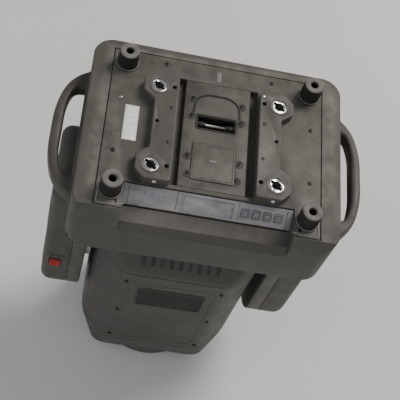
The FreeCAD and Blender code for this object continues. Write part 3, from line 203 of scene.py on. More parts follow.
CHARCOAL = (0.086, 0.081, 0.0715)
MATERIALS = {
    "casing": moulded(CHARCOAL),
    "casting": moulded((0.090, 0.085, 0.075), grain=2600.0, depth=0.35, rough=(0.40, 0.58)),
    "chrome_metal": metal((0.74, 0.74, 0.73), (0.08, 0.22), scratch=0.15),
    "steel": metal((0.50, 0.50, 0.49), (0.25, 0.45)),
    "bare_aluminium": metal((0.68, 0.68, 0.69), (0.28, 0.48)),
    "motor_black": moulded((0.03, 0.03, 0.031), dust=0.1),
    "foot_rubber": rubber((0.026, 0.0245, 0.0225), 0.85, (0.27, 0.255, 0.235)),
    "label_white": glossy((0.97, 0.965, 0.945), (0.3, 0.5), 0.12, (0.82, 0.80, 0.76), 0.1),
    "fascia_gloss": glossy((0.250, 0.244, 0.254), (0.16, 0.32), 0.45, (0.52, 0.52, 0.54)),
    "display_glass": glossy((0.235, 0.232, 0.244), (0.10, 0.22), 0.5, (0.58, 0.58, 0.60), 0.7),
    "button_grey": moulded((0.16, 0.162, 0.17), dust=0.2),
    "socket_plastic": glossy((0.045, 0.075, 0.17), (0.25, 0.45), 0.1),
    "socket_metal": metal((0.08, 0.08, 0.082), (0.3, 0.5)),
    "board_green": glossy((0.02, 0.13, 0.06), (0.3, 0.5), 0.08),
    "belt_rubber": rubber((0.022, 0.022, 0.022), 0.15),
    "lock_red": moulded((0.33, 0.028, 0.025), dust=0.15),
    "lens_glass": clear_glass((0.86, 0.91, 0.96)),
    "led_yellow": glossy((0.75, 0.62, 0.12), (0.2, 0.4), 0.05),
    "wheel_metal": metal((0.58, 0.58, 0.60), (0.25, 0.4)),
    "dark_steel": metal((0.060, 0.059, 0.057), (0.30, 0.50), dust=0.2),
    "handle_skin": moulded((0.080, 0.0735, 0.064), grain=1500.0, rough=(0.42, 0.62)),
    "seam_shade": moulded((0.052, 0.049, 0.045), dust=0.25),
    # Paler casing: wear on the pulls, tags and corner lips, and a painted highlight on the control panel's lower
    # edge.
    "pale_wear_and_highlight": moulded((0.19, 0.185, 0.175), dust=0.45),
    "louvre_skin": moulded((0.070, 0.066, 0.058), dust=0.15, wear=1.2),
    "worn_chrome": metal((0.36, 0.345, 0.32), (0.24, 0.46), dust=0.4),
    "line_black": moulded((0.022, 0.021, 0.019), dust=0.12, wear=1.3),
    "print_grey": glossy((0.33, 0.33, 0.32), (0.4, 0.6), 0.1, coat=0.0),
    "print_pale": glossy((0.30, 0.30, 0.325), (0.4, 0.6), 0.35, (0.15, 0.155, 0.165), 0.0),
    "lamp_lens": glossy((0.28, 0.30, 0.33), (0.1, 0.25), 0.15),
    "contact_gold": metal((0.78, 0.60, 0.28), (0.15, 0.3)),
}
FILTER_TINTS = ((0.9, 0.1, 0.08), (0.95, 0.55, 0.08), (0.1, 0.6, 0.2), (0.05, 0.25, 0.85), (0.6, 0.1, 0.75),
                (0.1, 0.7, 0.85), (0.95, 0.35, 0.6))
MATERIALS.update((f"filter_{number}", clear_glass(tint)) for number, tint in enumerate(FILTER_TINTS, start=1))
for finish_name, finish in MATERIALS.items():
    finish.name = finish_name
SLOT_OF = {row["node"]: row["material_slot"] for row in frame["record"]["subparts"]}


def dress_cad_nodes():
    """Give each CAD node its material, weld it, merge its flat faces and round its edges.

    The fascia's face is crowded with holes, and merging it would leave a stray face.
    """
    for name, node in NODES.items():
        node.data.materials.clear()
        node.data.materials.append(MATERIALS[SLOT_OF[name]])
        node.modifiers.new("weld", "WELD").merge_threshold = 0.00001
        if name != "control_fascia":
            flat = node.modifiers.new("planes", "DECIMATE")
            flat.decimate_type = "DISSOLVE"
            flat.angle_limit = math.radians(0.8)
        bevel_edges(node, 0.6, 2, 32)
        for polygon in node.data.polygons:
            polygon.use_smooth = True


def bevel_edges(piece, width, segments, angle):
    bevel = piece.modifiers.new("edges", "BEVEL")
    bevel.width = width * MM
    bevel.segments = segments
    bevel.limit_method = "ANGLE"
    bevel.angle_limit = math.radians(angle)
    bevel.harden_normals = True


# ---- mesh tools

def at(x, y, z):
    """A point given in millimetres."""
    return Vector((x, y, z)) * MM


def span(node):
    """A CAD node's lowest and highest corners, in millimetres."""
    low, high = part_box(node)
    return low / MM, high / MM


def add_object(name, data):
    thing = bpy.data.objects.new(name, data)
    bpy.context.scene.collection.objects.link(thing)
    return thing


def grown(low, high, amount):
    """The corners of a rectangle made larger on every side."""
    return (low.x - amount, low.y - amount), (high.x + amount, high.y + amount)


def make_piece(name, builder, body, slot, material=None, stands_for=(), sharp=35.0):
    """Turn a bmesh into a finished piece: shading, material (the slot's own unless another is named), body, and
    the CAD nodes it stands for.
    """
    bmesh.ops.remove_doubles(builder, verts=builder.verts, dist=1e-7)
    bmesh.ops.recalc_face_normals(builder, faces=builder.faces)
    mesh = bpy.data.meshes.new(name)
    builder.to_mesh(mesh)
    builder.free()
    mesh.materials.append(MATERIALS[material or slot])
    mesh.shade_smooth()
    mesh.set_sharp_from_angle(angle=math.radians(sharp))
    piece = add_object(name, mesh)
    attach(piece, body)
    if stands_for:
        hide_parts(*stands_for)
    return piece


def skin(builder, loops, closed=True, cap_first=False, cap_last=False):
    """Join equally long loops of points with faces."""
    rings = [[builder.verts.new(point) for point in loop] for loop in loops]
    for first, second in zip(rings, rings[1:]):
        count = len(first)
        for i in range(count if closed else count - 1):
            j = (i + 1) % count
            builder.faces.new((first[i], first[j], second[j], second[i]))
    if cap_first:
        builder.faces.new(list(reversed(rings[0])))
    if cap_last:
        builder.faces.new(rings[-1])
    return builder


def solid(loops, builder=None):
    """Join closed loops and close both ends."""
    return skin(builder or bmesh.new(), loops, True, True, True)


AXIS_ORDER = {"z": (0, 1, 2), "x": (2, 0, 1), "y": (1, 2, 0)}


def along(axis, u, v, height):
    """Turn a point beside an axis into x, y, z."""
    return [(u, v, height)[i] for i in AXIS_ORDER[axis]]


def lathe(profile, centre=(0, 0, 0), axis="z", steps=64, builder=None, out=1):
    """Turn (radius, height) rows, in millimetres, round an axis; a third number makes a row a polygon."""
    builder = builder or bmesh.new()
    loops = []
    for radius, height, *sides in profile:
        loop = []
        for i in range(steps):
            angle = 2 * math.pi * i / steps
            reach = radius
            if sides:
                wedge = 2 * math.pi / sides[0]
                reach = radius * math.cos(wedge / 2) / math.cos(angle % wedge - wedge / 2)
            offset = along(axis, reach * math.cos(angle), reach * math.sin(angle), height * out)
            loop.append(at(*centre) + at(*offset))
        loops.append(loop)
    return skin(builder, loops)


def slab(builder, low, high, turn=None):
    """Add a box between two corners, in millimetres, optionally turned about its middle."""
    low, high = Vector(low), Vector(high)
    middle = (low + high) / 2
    for vertex in bmesh.ops.create_cube(builder, size=1.0)["verts"]:
        corner = Vector([a * b for a, b in zip(vertex.co, high - low)])
        vertex.co = ((turn @ corner if turn else corner) + middle) * MM
    return builder


def arc_points(cx, cy, radius, start, end, steps):
    """Points on an arc, its angles in degrees."""
    angles = [math.radians(start + (end - start) * i / steps) for i in range(steps + 1)]
    return [(cx + radius * math.cos(a), cy + radius * math.sin(a)) for a in angles]


def rounded(points, radius, steps=6, closed=True):
    """Round the corners of a polygon, or of an open line, each with a quadratic curve."""
    line = []
    count = len(points)
    for i, corner in enumerate(points):
        if not closed and i in (0, count - 1):
            line.append(tuple(corner))
            continue
        before, after, corner = Vector(points[i - 1]), Vector(points[(i + 1) % count]), Vector(corner)
        first = corner + (before - corner).normalized() * min(radius, (before - corner).length * 0.48)
        last = corner + (after - corner).normalized() * min(radius, (after - corner).length * 0.48)
        for step in range(steps + 1):
            t = step / steps
            line.append(tuple(first * (1 - t) ** 2 + corner * 2 * t * (1 - t) + last * t ** 2))
    return line


def rectangle(low, high, radius, steps=5):
    (x0, y0), (x1, y1) = low, high
    return rounded([(x0, y0), (x1, y0), (x1, y1), (x0, y1)], radius, steps)


def spaced(points, count):
    """Points evenly spaced along a line."""
    points = [Vector(point) for point in points]
    lengths = [(b - a).length for a, b in zip(points, points[1:])]
    total = sum(lengths)
    result = []
    for i in range(count):
        left = total * i / (count - 1)
        for start, end, length in zip(points, points[1:], lengths):
            if left <= length or end is points[-1]:
                result.append(start.lerp(end, min(1.0, left / length)))
                break
            left -= length
    return result


def plate(outline, low, high, axis="z", builder=None, roll=0.0):
    """Push an outline from one level to another, its edge at the far level rolled over."""
    builder = builder or bmesh.new()
    centre = sum((Vector(p) for p in outline), Vector((0, 0))) / len(outline)
    sign = 1 if high > low else -1
    levels = [(low, 0.0), (high - sign * roll, 0.0)]
    levels += [(high - sign * roll * (1 - math.sin(a)), roll * (1 - math.cos(a)))
               for a in (math.pi / 6, math.pi / 3, math.pi / 2) if roll]
    loops = []
    for level, inset in levels:
        loop = []
        for point in outline:
            inward = centre - Vector(point)
            u, v = Vector(point) + Vector((math.copysign(min(inset, abs(inward.x)), inward.x),
                                           math.copysign(min(inset, abs(inward.y)), inward.y)))
            loop.append(at(*along(axis, u, v, level)))
        loops.append(loop)
    return solid(loops, builder)


def ridge(path, width, low, high, builder=None, closed=False, place=None):
    """A narrow raised line with a rounded top that follows a path on a face."""
    builder = builder or bmesh.new()
    place = place or (lambda u, v, level: (u, v, level))
    points = [Vector(p) for p in path]
    count = len(points)
    loops = []
    for i, point in enumerate(points):
        before = points[i - 1] if closed or i else point
        after = points[(i + 1) % count] if closed or i < count - 1 else point
        way = (after - before).normalized()
        side = Vector((-way.y, way.x)) * (width / 2)
        rise = high - low
        section = ((-1, 0.0), (-0.94, 0.55), (-0.6, 0.92), (0, 1.0), (0.6, 0.92), (0.94, 0.55), (1, 0.0))
        loops.append([at(*place(point.x + side.x * across, point.y + side.y * across, low + rise * up))
                      for across, up in section])
    if closed:
        loops.append(loops[0])
    return skin(builder, loops, True, not closed, not closed)


def slat(builder, outline, low, high, place):
    """A thin plate on any face: place turns (u, v, level) into a point."""
    loops = [[at(*place(u, v, level)) for u, v in outline] for level in (low, high)]
    return solid(loops, builder)


def screw_head(builder, centre, axis="z", radius=3.0, rise=1.3, out=1):
    """A domed screw head with a hexagon socket."""
    profile = [(0, -0.5), (radius, -0.5), (radius, 0.4 * rise), (0.88 * radius, 0.8 * rise),
               (0.66 * radius, rise), (0.52 * radius, rise, 6), (0.5 * radius, 0.15 * rise, 6),
               (0, 0.15 * rise)]
    return lathe(profile, centre, axis, 24, builder, out)


def screw_set(name, body, spots, axis="z", radius=2.6, rise=1.1, out=1):
    """One piece made of a dark screw head at each spot."""
    builder = bmesh.new()
    for spot in spots:
        screw_head(builder, spot, axis, radius, rise, out)
    make_piece(name, builder, body, "steel", "dark_steel")


def washer_ring(builder, centre, inner, outer, rise, axis="z", out=1):
    profile = [(inner, -0.3), (outer, -0.3), (outer, 0.5 * rise), (outer - 0.3 * rise, rise),
               (inner + 0.3 * rise, rise), (inner, 0.6 * rise), (inner, -0.3)]
    return lathe(profile, centre, axis, 32, builder, out)


# ---- places read from the frame

JOINTS = {joint["name"]: joint for joint in frame["joints"]}
TILT_Z = JOINTS["tilt"]["pos_m"][2] / MM
HOUSING_LOW, HOUSING_HIGH = span("base_housing")
COVER_LOW, COVER_HIGH = span("bottom_cover")
FACE = COVER_HIGH.z
SIGNS = (-1, 1)
CORNERS = [(x_sign, y_sign) for y_sign in SIGNS for x_sign in SIGNS]
SIDES = ((-1, "left"), (1, "right"))


# ---- base

def feet():
    """Four turned rubber feet, each held by a sunk socket screw."""
    low, high = span("rubber_feet")
    root, tip, bore, sunk = 15.0, 12.5, 4.6, 13.5
    tall = high.z - low.z
    profile = [(0, 0), (root, 0), (root, 1.4), (root - 0.5, 2.0), (root - 1.5, 2.2), (root - 1.7, 3.0),
               (tip + 0.35, tall - 2.4), (tip + 0.15, tall - 1.2), (tip - 0.5, tall - 0.35), (tip - 1.6, tall),
               (bore + 2.0, tall), (bore + 0.9, tall - 0.5), (bore + 0.2, tall - 1.4), (bore, tall - 2.4),
               (bore, tall - sunk), (0, tall - sunk)]
    for number, (x_sign, y_sign) in enumerate(CORNERS, start=1):
        x, y = x_sign * (high.x - root), y_sign * (high.y - root)
        foot = lathe(profile, (x, y, low.z))
        make_piece(f"foot_{number}", foot, "base", "foot_rubber", stands_for=("rubber_feet",))
        screw_set(f"foot_screw_{number}", "base", [(x, y, high.z - sunk)], radius=4.1, rise=2.6)


def handles():
    """Two loop handles with flared roots on a screwed foot plate."""
    low, high = span("handle_right")
    wall = HOUSING_HIGH.x - 0.6
    reach, half = high.x - 0.2, high.y
    finger = reach - 14.0
    outer = [(wall, -half), (wall + 13, -half + 7), (reach - 9, -0.72 * half), (reach, -0.34 * half),
             (reach, 0.34 * half), (reach - 9, 0.72 * half), (wall + 13, half - 7), (wall, half)]
    inner = [(wall, -67), (finger - 10, -66), (finger - 4, -56), (finger, -34),
             (finger, 34), (finger - 4, 56), (finger - 10, 66), (wall, 67)]
    outer = spaced(rounded(outer, 18, 8, closed=False), 61)
    inner = spaced(rounded(inner, 12, 8, closed=False), 61)
    for sign, word in SIDES:
        sections = []
        for near, far in zip(inner, outer):
            across = far - near
            way = across.normalized()
            sections.append([at(sign * (near.x + way.x * u), near.y + way.y * u, z)
                             for u, z in rectangle((0, low.z), (across.length, high.z), 6.5)])
        builder = solid(sections)
        outline = rectangle((-half, low.z - 1), (half, high.z + 1), 8)
        plate(outline, sign * (wall - 0.5), sign * (wall + 3.6), "x", builder, roll=1.4)
        for y in (-86, 86):
            screw_head(builder, (sign * (wall + 3.4), y, high.z + 0.2 - 5.5), "x", 2.0, 1.0, sign)
        make_piece(f"handle_loop_{word}", builder, "base", "casing", "handle_skin",
                   (f"handle_{word}",), sharp=50)


CENTRE_SCREWS = [(x_sign * x, y) for x_sign in SIGNS for x, y in ((32, 57), (32, 31), (33, -30), (31, -55))]
RIM_SCREWS = [(x_sign * 124, y) for x_sign in SIGNS for y in (-40, 40)]
RIM_SCREWS += [(x_sign * 70, 104) for x_sign in SIGNS]


def cover_fasteners():
    """Black screws in shallow counterbores, and one bright replacement beside the label."""
    for number, (x, y) in enumerate(CENTRE_SCREWS + RIM_SCREWS, start=1):
        bright = (x, y) == (-124, 40)
        builder = screw_head(bmesh.new(), (x, y, FACE + 0.1), radius=2.7, rise=1.1)
        make_piece(f"cover_screw_{number:02d}", builder, "base", "steel", "steel" if bright else "dark_steel",
                   ("cover_screws",))
    wells = bmesh.new()
    for x, y in CENTRE_SCREWS:
        washer_ring(wells, (x, y, FACE), 3.6, 5.6, 0.8)
    make_piece("screw_wells", wells, "base", "casing", "seam_shade")


def rim(name, low, high, radius, width, bottom, top, material="line_black"):
    """A raised line round a rectangle in the base's cover."""
    line = ridge(rectangle(low, high, radius), width, bottom, top, closed=True)
    make_piece(name, line, "base", "casing", material)


def centre_cover_details():
    """The moulded arch over the safety bar, the lid's pull, and the pressed outline of the lid; also a painted
    shadow line round the lid and painted shade in and round the safety bar's recess.
    """
    lid_low, lid_high = span("access_lid")
    arch = rounded([(-30, 36), (-28, 58), (-15, 67), (15, 67), (28, 58), (30, 36)], 9, 6, closed=False)
    make_piece("arch_ridge", ridge(arch, 2.3, FACE - 0.2, FACE + 1.3), "base", "casing", "line_black")
    # The dark line round the lid is a painted shadow of the seam between lid and cover.
    rim("lid_seam_shadow", *grown(lid_low, lid_high, 0.5), 3, 1.3, FACE - 0.1, FACE + 0.12)
    # The black rim round the recess is painted shade along the recess's edge.
    rim("recess_shade_rim", (-25.6, 13.4), (25.6, 34.6), 3, 2.2, FACE - 0.4, FACE + 0.7)
    bar_low, bar_high = span("safety_bar")
    bar_y, bar_z = (bar_low.y + bar_high.y) / 2, (bar_low.z + bar_high.z) / 2
    bar_r = (bar_high.z - bar_low.z) / 2
    bar = lathe([(0, bar_low.x), (bar_r, bar_low.x), (bar_r, bar_low.x + 3), (bar_r - 0.5, bar_low.x + 4),
                 (bar_r - 0.5, bar_high.x - 4), (bar_r, bar_high.x - 3), (bar_r, bar_high.x), (0, bar_high.x)],
                (0, bar_y, bar_z), "x", 32)
    make_piece("safety_bar_rod", bar, "base", "chrome_metal", "worn_chrome", ("safety_bar",))
    sleeves = bmesh.new()
    for sign in SIGNS:
        lathe([(bar_r - 0.6, 13), (bar_r + 0.9, 13), (bar_r + 1.3, 13.6), (bar_r + 1.3, 22.6),
               (bar_r + 0.8, 23.4), (bar_r - 0.6, 23.4), (bar_r - 0.6, 13)],
              (0, bar_y, bar_z), "x", 32, sleeves, sign)
    make_piece("bar_sleeves", sleeves, "base", "foot_rubber", "line_black")
    # The black cup inside the recess is painted shade, the darkness of the deep recess under the bar.
    floor = bar_z - 21.9
    cup_low, cup_high = Vector((bar_low.x, bar_y - 9)), Vector((bar_high.x, bar_y + 9))
    cup = [[at(x, y, z) for x, y in rectangle(*grown(cup_low, cup_high, -gap), 1)]
           for gap, z in ((0.1, floor), (0.1, FACE - 2), (0.5, FACE - 2), (0.5, floor + 0.4))]
    make_piece("recess_painted_shade", solid(cup), "base", "casing", "line_black")
    rim("lid_lip", *grown(lid_low, lid_high, -2.5), 3, 1.1, lid_high.z - 0.2, lid_high.z + 0.5, "casing")
    pull = plate(rectangle((-6, -35), (4, -31.6), 1.6), lid_high.z - 0.2, lid_high.z + 0.6, roll=0.3)
    make_piece("lid_pull", pull, "base", "button_grey", "pale_wear_and_highlight")


def cover_details():
    """Pressed corner outlines round the front feet, a blank rating plate, and the label's border."""
    corners = bmesh.new()
    for sign in SIGNS:
        path = ((103, -112), (116, -114.5), (134, -114.5), (135.6, -112), (135.6, -92))
        ridge([(sign * x, y) for x, y in path], 1.5, FACE - 0.2, FACE + 1.0, corners)
    make_piece("corner_lips", corners, "base", "casing", "pale_wear_and_highlight")
    dots = bmesh.new()
    for sign in SIGNS:
        lathe([(0, -1), (2.0, -1), (2.0, 0.3), (1.5, 0.5), (0, 0.5)], (sign * 112, -109.2, FACE),
              steps=20, builder=dots)
    make_piece("corner_plugs", dots, "base", "steel", "dark_steel")
    tag = plate(rectangle((-3.5, 89.5), (2.5, 106), 2.5), FACE - 0.2, FACE + 0.45, roll=0.2)
    make_piece("level_tag", tag, "base", "label_white", "pale_wear_and_highlight")
    low, high = span("label_plate")
    border = rectangle(*grown(low, high, -1.2), 1)
    line = ridge(border, 0.45, high.z - 0.05, high.z + 0.06, closed=True)
    for y in (2, 12):
        ridge([(low.x + 4, y), (high.x - 4, y)], 0.5, high.z - 0.05, high.z + 0.06, line)
    make_piece("label_border", line, "base", "label_white", "print_grey")


def plate_details():
    """Rivets, wall studs and bearing pads on the bracket plates."""
    low, high = span("bracket_plate_right")
    studs = bmesh.new()
    for x in (-71, 76):
        lathe([(0, -0.5), (3.6, -0.5), (3.6, 0.6), (3.0, 1.3), (1.6, 1.7), (0, 1.8)],
              (x, low.y, high.z - 6.5), "y", 24, studs, -1)
    lathe([(0, -0.5), (2.4, -0.5), (2.4, 0.3), (1.6, 0.9), (0, 1.1)], (57, 71, high.z), "z", 24, studs)
    make_piece("plate_studs", studs, "base", "chrome_metal")
    collars = bmesh.new()
    socket_low, socket_high = span("quarter_turn_sockets")
    reach_x, reach_y = socket_high.x - 10, socket_high.y - 10
    for x_sign, y_sign in CORNERS:
        washer_ring(collars, (x_sign * reach_x, y_sign * reach_y, high.z), 9.9, 12.6, 0.7)
    make_piece("socket_collars", collars, "base", "casting", "casting")
    bolts = [(sign * 60, y, high.z - 0.3) for sign in SIGNS for y in (-24, 28)]
    screw_set("plate_bolts", "base", bolts, radius=2.4, rise=0.9)


def vent(name, body, sign, x, y_half, low, high, pitch):
    """A framed bank of slanting louvres just proud of a side face, and a dark sheet behind it that is painted
    shade.
    """
    builder = bmesh.new()
    lean = Matrix.Rotation(math.radians(28 * sign), 3, "Y")
    steps = int((high - low - 6) / pitch)
    near, far = sorted((x - sign * 0.6, x + sign * 1.2))
    for number in range(steps):
        z = (low + high) / 2 + pitch * (number - (steps - 1) / 2)
        slab(builder, (near, -y_half + 3, z - 1.9), (far, y_half - 3, z + 1.9), lean)
    outline = rectangle((-y_half, low), (y_half, high), 5)
    ridge(outline, 3.0, 0, 1, builder, closed=True,
          place=lambda u, v, level: (x + sign * (level * 2.0 - 0.4), u, v))
    make_piece(name, builder, body, "casing", "louvre_skin", sharp=30)
    # The dark sheet behind the louvres is painted shade, the shadow inside the vent opening.
    make_piece(f"{name}_shade_sheet", plate(outline, x - sign * 1.0, x + sign * 0.25, "x"), body, "motor_black")


def base_vents():
    """Air slots low on both side walls of the base."""
    low, high = HOUSING_LOW.z + 11, HOUSING_LOW.z + 36
    for sign, word in SIDES:
        vent(f"base_vent_{word}", "base", sign, sign * HOUSING_HIGH.x, 62, low, high, 6.0)


# ---- control panel

FASCIA_LOW, FASCIA_HIGH = span("control_fascia")
FASCIA_THICK = 3.0
DIAGONAL = math.sqrt(0.5)
FASCIA_HALF = ((FASCIA_HIGH.z - FASCIA_LOW.z) / DIAGONAL - FASCIA_THICK) / 2
FASCIA_Y = FASCIA_LOW.y + FASCIA_HALF * DIAGONAL
FASCIA_Z = FASCIA_HIGH.z - FASCIA_HALF * DIAGONAL
KEYS = ("menu", "down", "up", "enter")


def on_slope(x, up, out):
    """A point on the sloping panel: along it, up it and out of it."""
    return x, FASCIA_Y + (up - out) * DIAGONAL, FASCIA_Z + (up + out) * DIAGONAL


def key_sign(word, x):
    """A plain sign for each key: bars, arrows and a ring."""
    if word == "menu":
        return [rectangle((x - 2.4, up - 0.35), (x + 2.4, up + 0.35), 0.3, 2) for up in (-1.8, 0, 1.8)]
    if word == "enter":
        outer = arc_points(x, 0, 2.4, 0, 360, 24)
        inner = arc_points(x, 0, 1.7, 360, 0, 24)
        return [[outer[i], outer[i + 1], inner[-i - 2], inner[-i - 1]] for i in range(24)]
    tip = 2.2 if word == "up" else -2.2
    return [[(x - 2.5, -0.6 * tip), (x + 2.5, -0.6 * tip), (x, tip)]]


def key_caps():
    """Keycaps with a dished face and a pale sign each."""
    for word in KEYS:
        low, high = span(f"button_{word}")
        x = (low.x + high.x) / 2
        half, top = 5.2, 1.5
        levels = [(-3.3, half), (top - 0.9, half), (top - 0.3, half - 0.25), (top, half - 0.9),
                  (top - 0.35, half - 2.2)]
        loops = [[at(*on_slope(x + u, v, level)) for u, v in rectangle((-size, -size), (size, size), 1.4, 4)]
                 for level, size in levels]
        cap = solid(loops)
        make_piece(f"key_{word}", cap, f"{word}_button", "button_grey", stands_for=(f"button_{word}",))
        signs = bmesh.new()
        for outline in key_sign(word, x):
            slat(signs, outline, top - 0.5, top - 0.27, on_slope)
        make_piece(f"key_sign_{word}", signs, f"{word}_button", "label_white", "print_pale")


def panel_trim():
    """The display's frame, division grooves, status lamps, and a pale strip along the panel's lower edge that is a
    painted highlight.
    """
    low, high = span("display_window")
    half_x, half_up = high.x + 0.6, 10.6
    outline = rectangle((-half_x, -half_up), (half_x, half_up), 1.5)
    border = ridge(outline, 1.6, -0.2, 0.7, closed=True, place=on_slope)
    make_piece("display_frame", border, "base", "fascia_gloss")
    grooves = bmesh.new()
    for x in (-39.0, 37.5, 98.0, -98.0):
        ridge([(x, -FASCIA_HALF + 0.4), (x, FASCIA_HALF - 0.4)], 0.8, -0.3, 0.16, grooves, place=on_slope)
    make_piece("panel_grooves", grooves, "base", "fascia_gloss", "seam_shade")
    lamps, marks = bmesh.new(), bmesh.new()
    for x in (-60, -69, -78):
        domed = ((1.5, -0.2), (1.5, 0.2), (1.2, 0.6), (0.675, 0.85), (0.03, 0.92))
        loops = [[at(*on_slope(u, v, 1.5 * rise)) for u, v in arc_points(x, 4.5, radius, 0, 342, 19)]
                 for radius, rise in domed]
        solid(loops, lamps)
        slat(marks, rectangle((x - 2.6, -0.4), (x + 2.6, 0.3), 0.3, 2), -0.05, 0.08, on_slope)
    for x, wide in ((-81, 10), (46, 4), (60, 4), (74, 4), (88, 4)):
        slat(marks, rectangle((x - wide / 2, -9.4), (x + wide / 2, -8.5), 0.4, 2), -0.05, 0.08, on_slope)
    make_piece("status_lamps", lamps, "base", "display_glass", "lamp_lens")
    make_piece("panel_marks", marks, "base", "label_white", "print_pale")
    # The pale strip is a painted highlight: the ledge under the panel, lighter where it faces up into the light.
    end, low_edge = FASCIA_HIGH.x - 1, -FASCIA_HALF + 1.2
    edge = ridge([(-end, low_edge), (end, low_edge)], 2.0, -0.2, 0.6, place=on_slope)
    make_piece("panel_lower_edge", edge, "base", "fascia_gloss", "pale_wear_and_highlight")


# ---- connectors

def connector_details():
    """Contacts, insulators, latch tabs and fixing screws of the six panel connectors."""
    low, high = span("signal_sockets")
    flange = 13.0
    face = high.y
    middle = (low.z + high.z) / 2
    signal_x = [low.x + flange + (high.x - low.x - 2 * flange) * n / 3 for n in range(4)]
    power_x = [sign * (span("power_sockets")[1].x - flange) for sign in SIGNS]
    screws = [(x + sign * 9.6, face, middle + sign * 12) for x in signal_x + power_x for sign in SIGNS]
    screw_set("connector_screws", "base", screws, "y", 2.0, 0.8)
    pins, cores, rims, tabs = bmesh.new(), bmesh.new(), bmesh.new(), bmesh.new()
    deep = face - 15
    for spots, radius, top, chamfer, bevel, ring, half_wide, tab_y, tab_z in (
            (signal_x, 8.8, 0, 0.6, 0.5, (9.0, 11.2, 0.8), 2.6, 0.9, (9.6, 14)),
            (power_x, 6.4, 9, 0.8, 1, (11.0, 13.0, 0.85), 4, 0.95, (11.5, 15))):
        for x in spots:
            tip = top + bevel
            lathe([(0, -3), (radius, -3), (radius, top), (radius - chamfer, tip), (0, tip)],
                  (x, deep, middle), "y", 40, cores)
            washer_ring(rims, (x, face, middle), *ring, "y")
            slab(tabs, (x - half_wide, face - 0.3, middle + tab_z[0]),
                 (x + half_wide, face + tab_y, middle + tab_z[1]))
    for x in signal_x:
        for u, v in arc_points(x, middle, 4.6, -30, 210, 4):
            lathe([(0, 0), (0.9, 0), (0.9, 8), (0.5, 9), (0, 9.2)], (u, deep, v), "y", 12, pins)
    half = Vector((1.0, 5, 1.0))
    for x in power_x:
        for number, (u, v) in enumerate(arc_points(x, middle, 8.6, 90, 330, 2)):
            spot = Vector((u, deep + 4, v))
            slab(pins, spot - half, spot + half, Matrix.Rotation(-math.radians(90 + 120 * number), 3, "Y"))
    make_piece("connector_pins", pins, "base", "steel", "contact_gold")
    make_piece("connector_cores", cores, "base", "socket_metal", "motor_black")
    make_piece("connector_rims", rims, "base", "socket_metal")
    bevel_edges(make_piece("connector_tabs", tabs, "base", "socket_metal", "lock_red"), 0.5, 3, 30)
    panel_low, panel_high = span("connector_panel")
    corners = [(sign * (panel_high.x - 10), panel_high.y, z) for sign in SIGNS
               for z in (panel_low.z + 8, panel_high.z - 8)]
    screw_set("panel_screws", "base", corners, "y", 2.4, 1.0)
    bezel = rectangle((panel_low.z + 5.4, -panel_high.x + 7.4), (panel_high.z - 5.4, panel_high.x - 7.4), 3)
    lip = ridge(bezel, 2.6, panel_high.y - 0.2, HOUSING_HIGH.y - 0.4, closed=True,
                place=lambda u, v, level: (v, level, u))
    make_piece("panel_surround", lip, "base", "casing")


# ---- yoke

def arm_outline(inset, top, half, corner=14.0):
    """A leg with rounded shoulders and a round end about the tilt axis, drawn in by an inset."""
    half -= inset
    corner = max(corner - inset, 2.5)
    top -= inset
    return (arc_points(half - corner, top - corner, corner, 0, 90, 6)
            + arc_points(corner - half, top - corner, corner, 90, 180, 6)
            + arc_points(0, TILT_Z, half, 180, 360, 32))


def arm_loft(levels, sign, top, half):
    """Skin a leg through (x, inset) rows, counted out from the head."""
    loops = [[at(sign * x, y, z) for y, z in arm_outline(inset, top, half)] for x, inset in levels]
    return solid(loops)


def arms():
    """Each arm is a cast frame and a deep rounded cover, parted by a seam."""
    inner_low, inner_high = span("arm_frame_right")
    cover_low, cover_high = span("arm_cover_right")
    start, split, end = inner_low.x, inner_high.x, cover_high.x
    top, half = inner_high.z, inner_high.y
    roll = 15.0
    frame_rows = [(start, 3.6), (start + 0.6, 1.7), (start + 1.8, 0.5), (start + 3.6, 0.0), (split - 1.0, 0.0),
                  (split - 0.5, 0.4), (split - 0.4, 1.8), (split + 0.4, 1.8)]
    cover_rows = [(split + 0.3, 1.9), (split + 0.5, 0.5), (split + 1.1, 0.0), (end - roll - 1, 0.0)]
    for step in range(1, 9):
        angle = math.pi / 2 * step / 8
        cover_rows.append((end - 1 - roll + roll * math.sin(angle), roll * (1 - math.cos(angle))))
    cover_rows += [(end - 1, roll + 2.5), (end - 2.0, roll + 3.6), (end - 2.0, roll + 6)]
    for sign, word in SIDES:
        casting = arm_loft(frame_rows, sign, top, half)
        make_piece(f"arm_casting_{word}", casting, "yoke", "casting",
                   stands_for=(f"arm_frame_{word}",), sharp=40)
        shell = arm_loft(cover_rows, sign, top, half)
        make_piece(f"arm_shell_{word}", shell, "yoke", "casing", stands_for=(f"arm_cover_{word}",), sharp=40)
        arm_fittings(sign, word, end - 2.0, half, top)


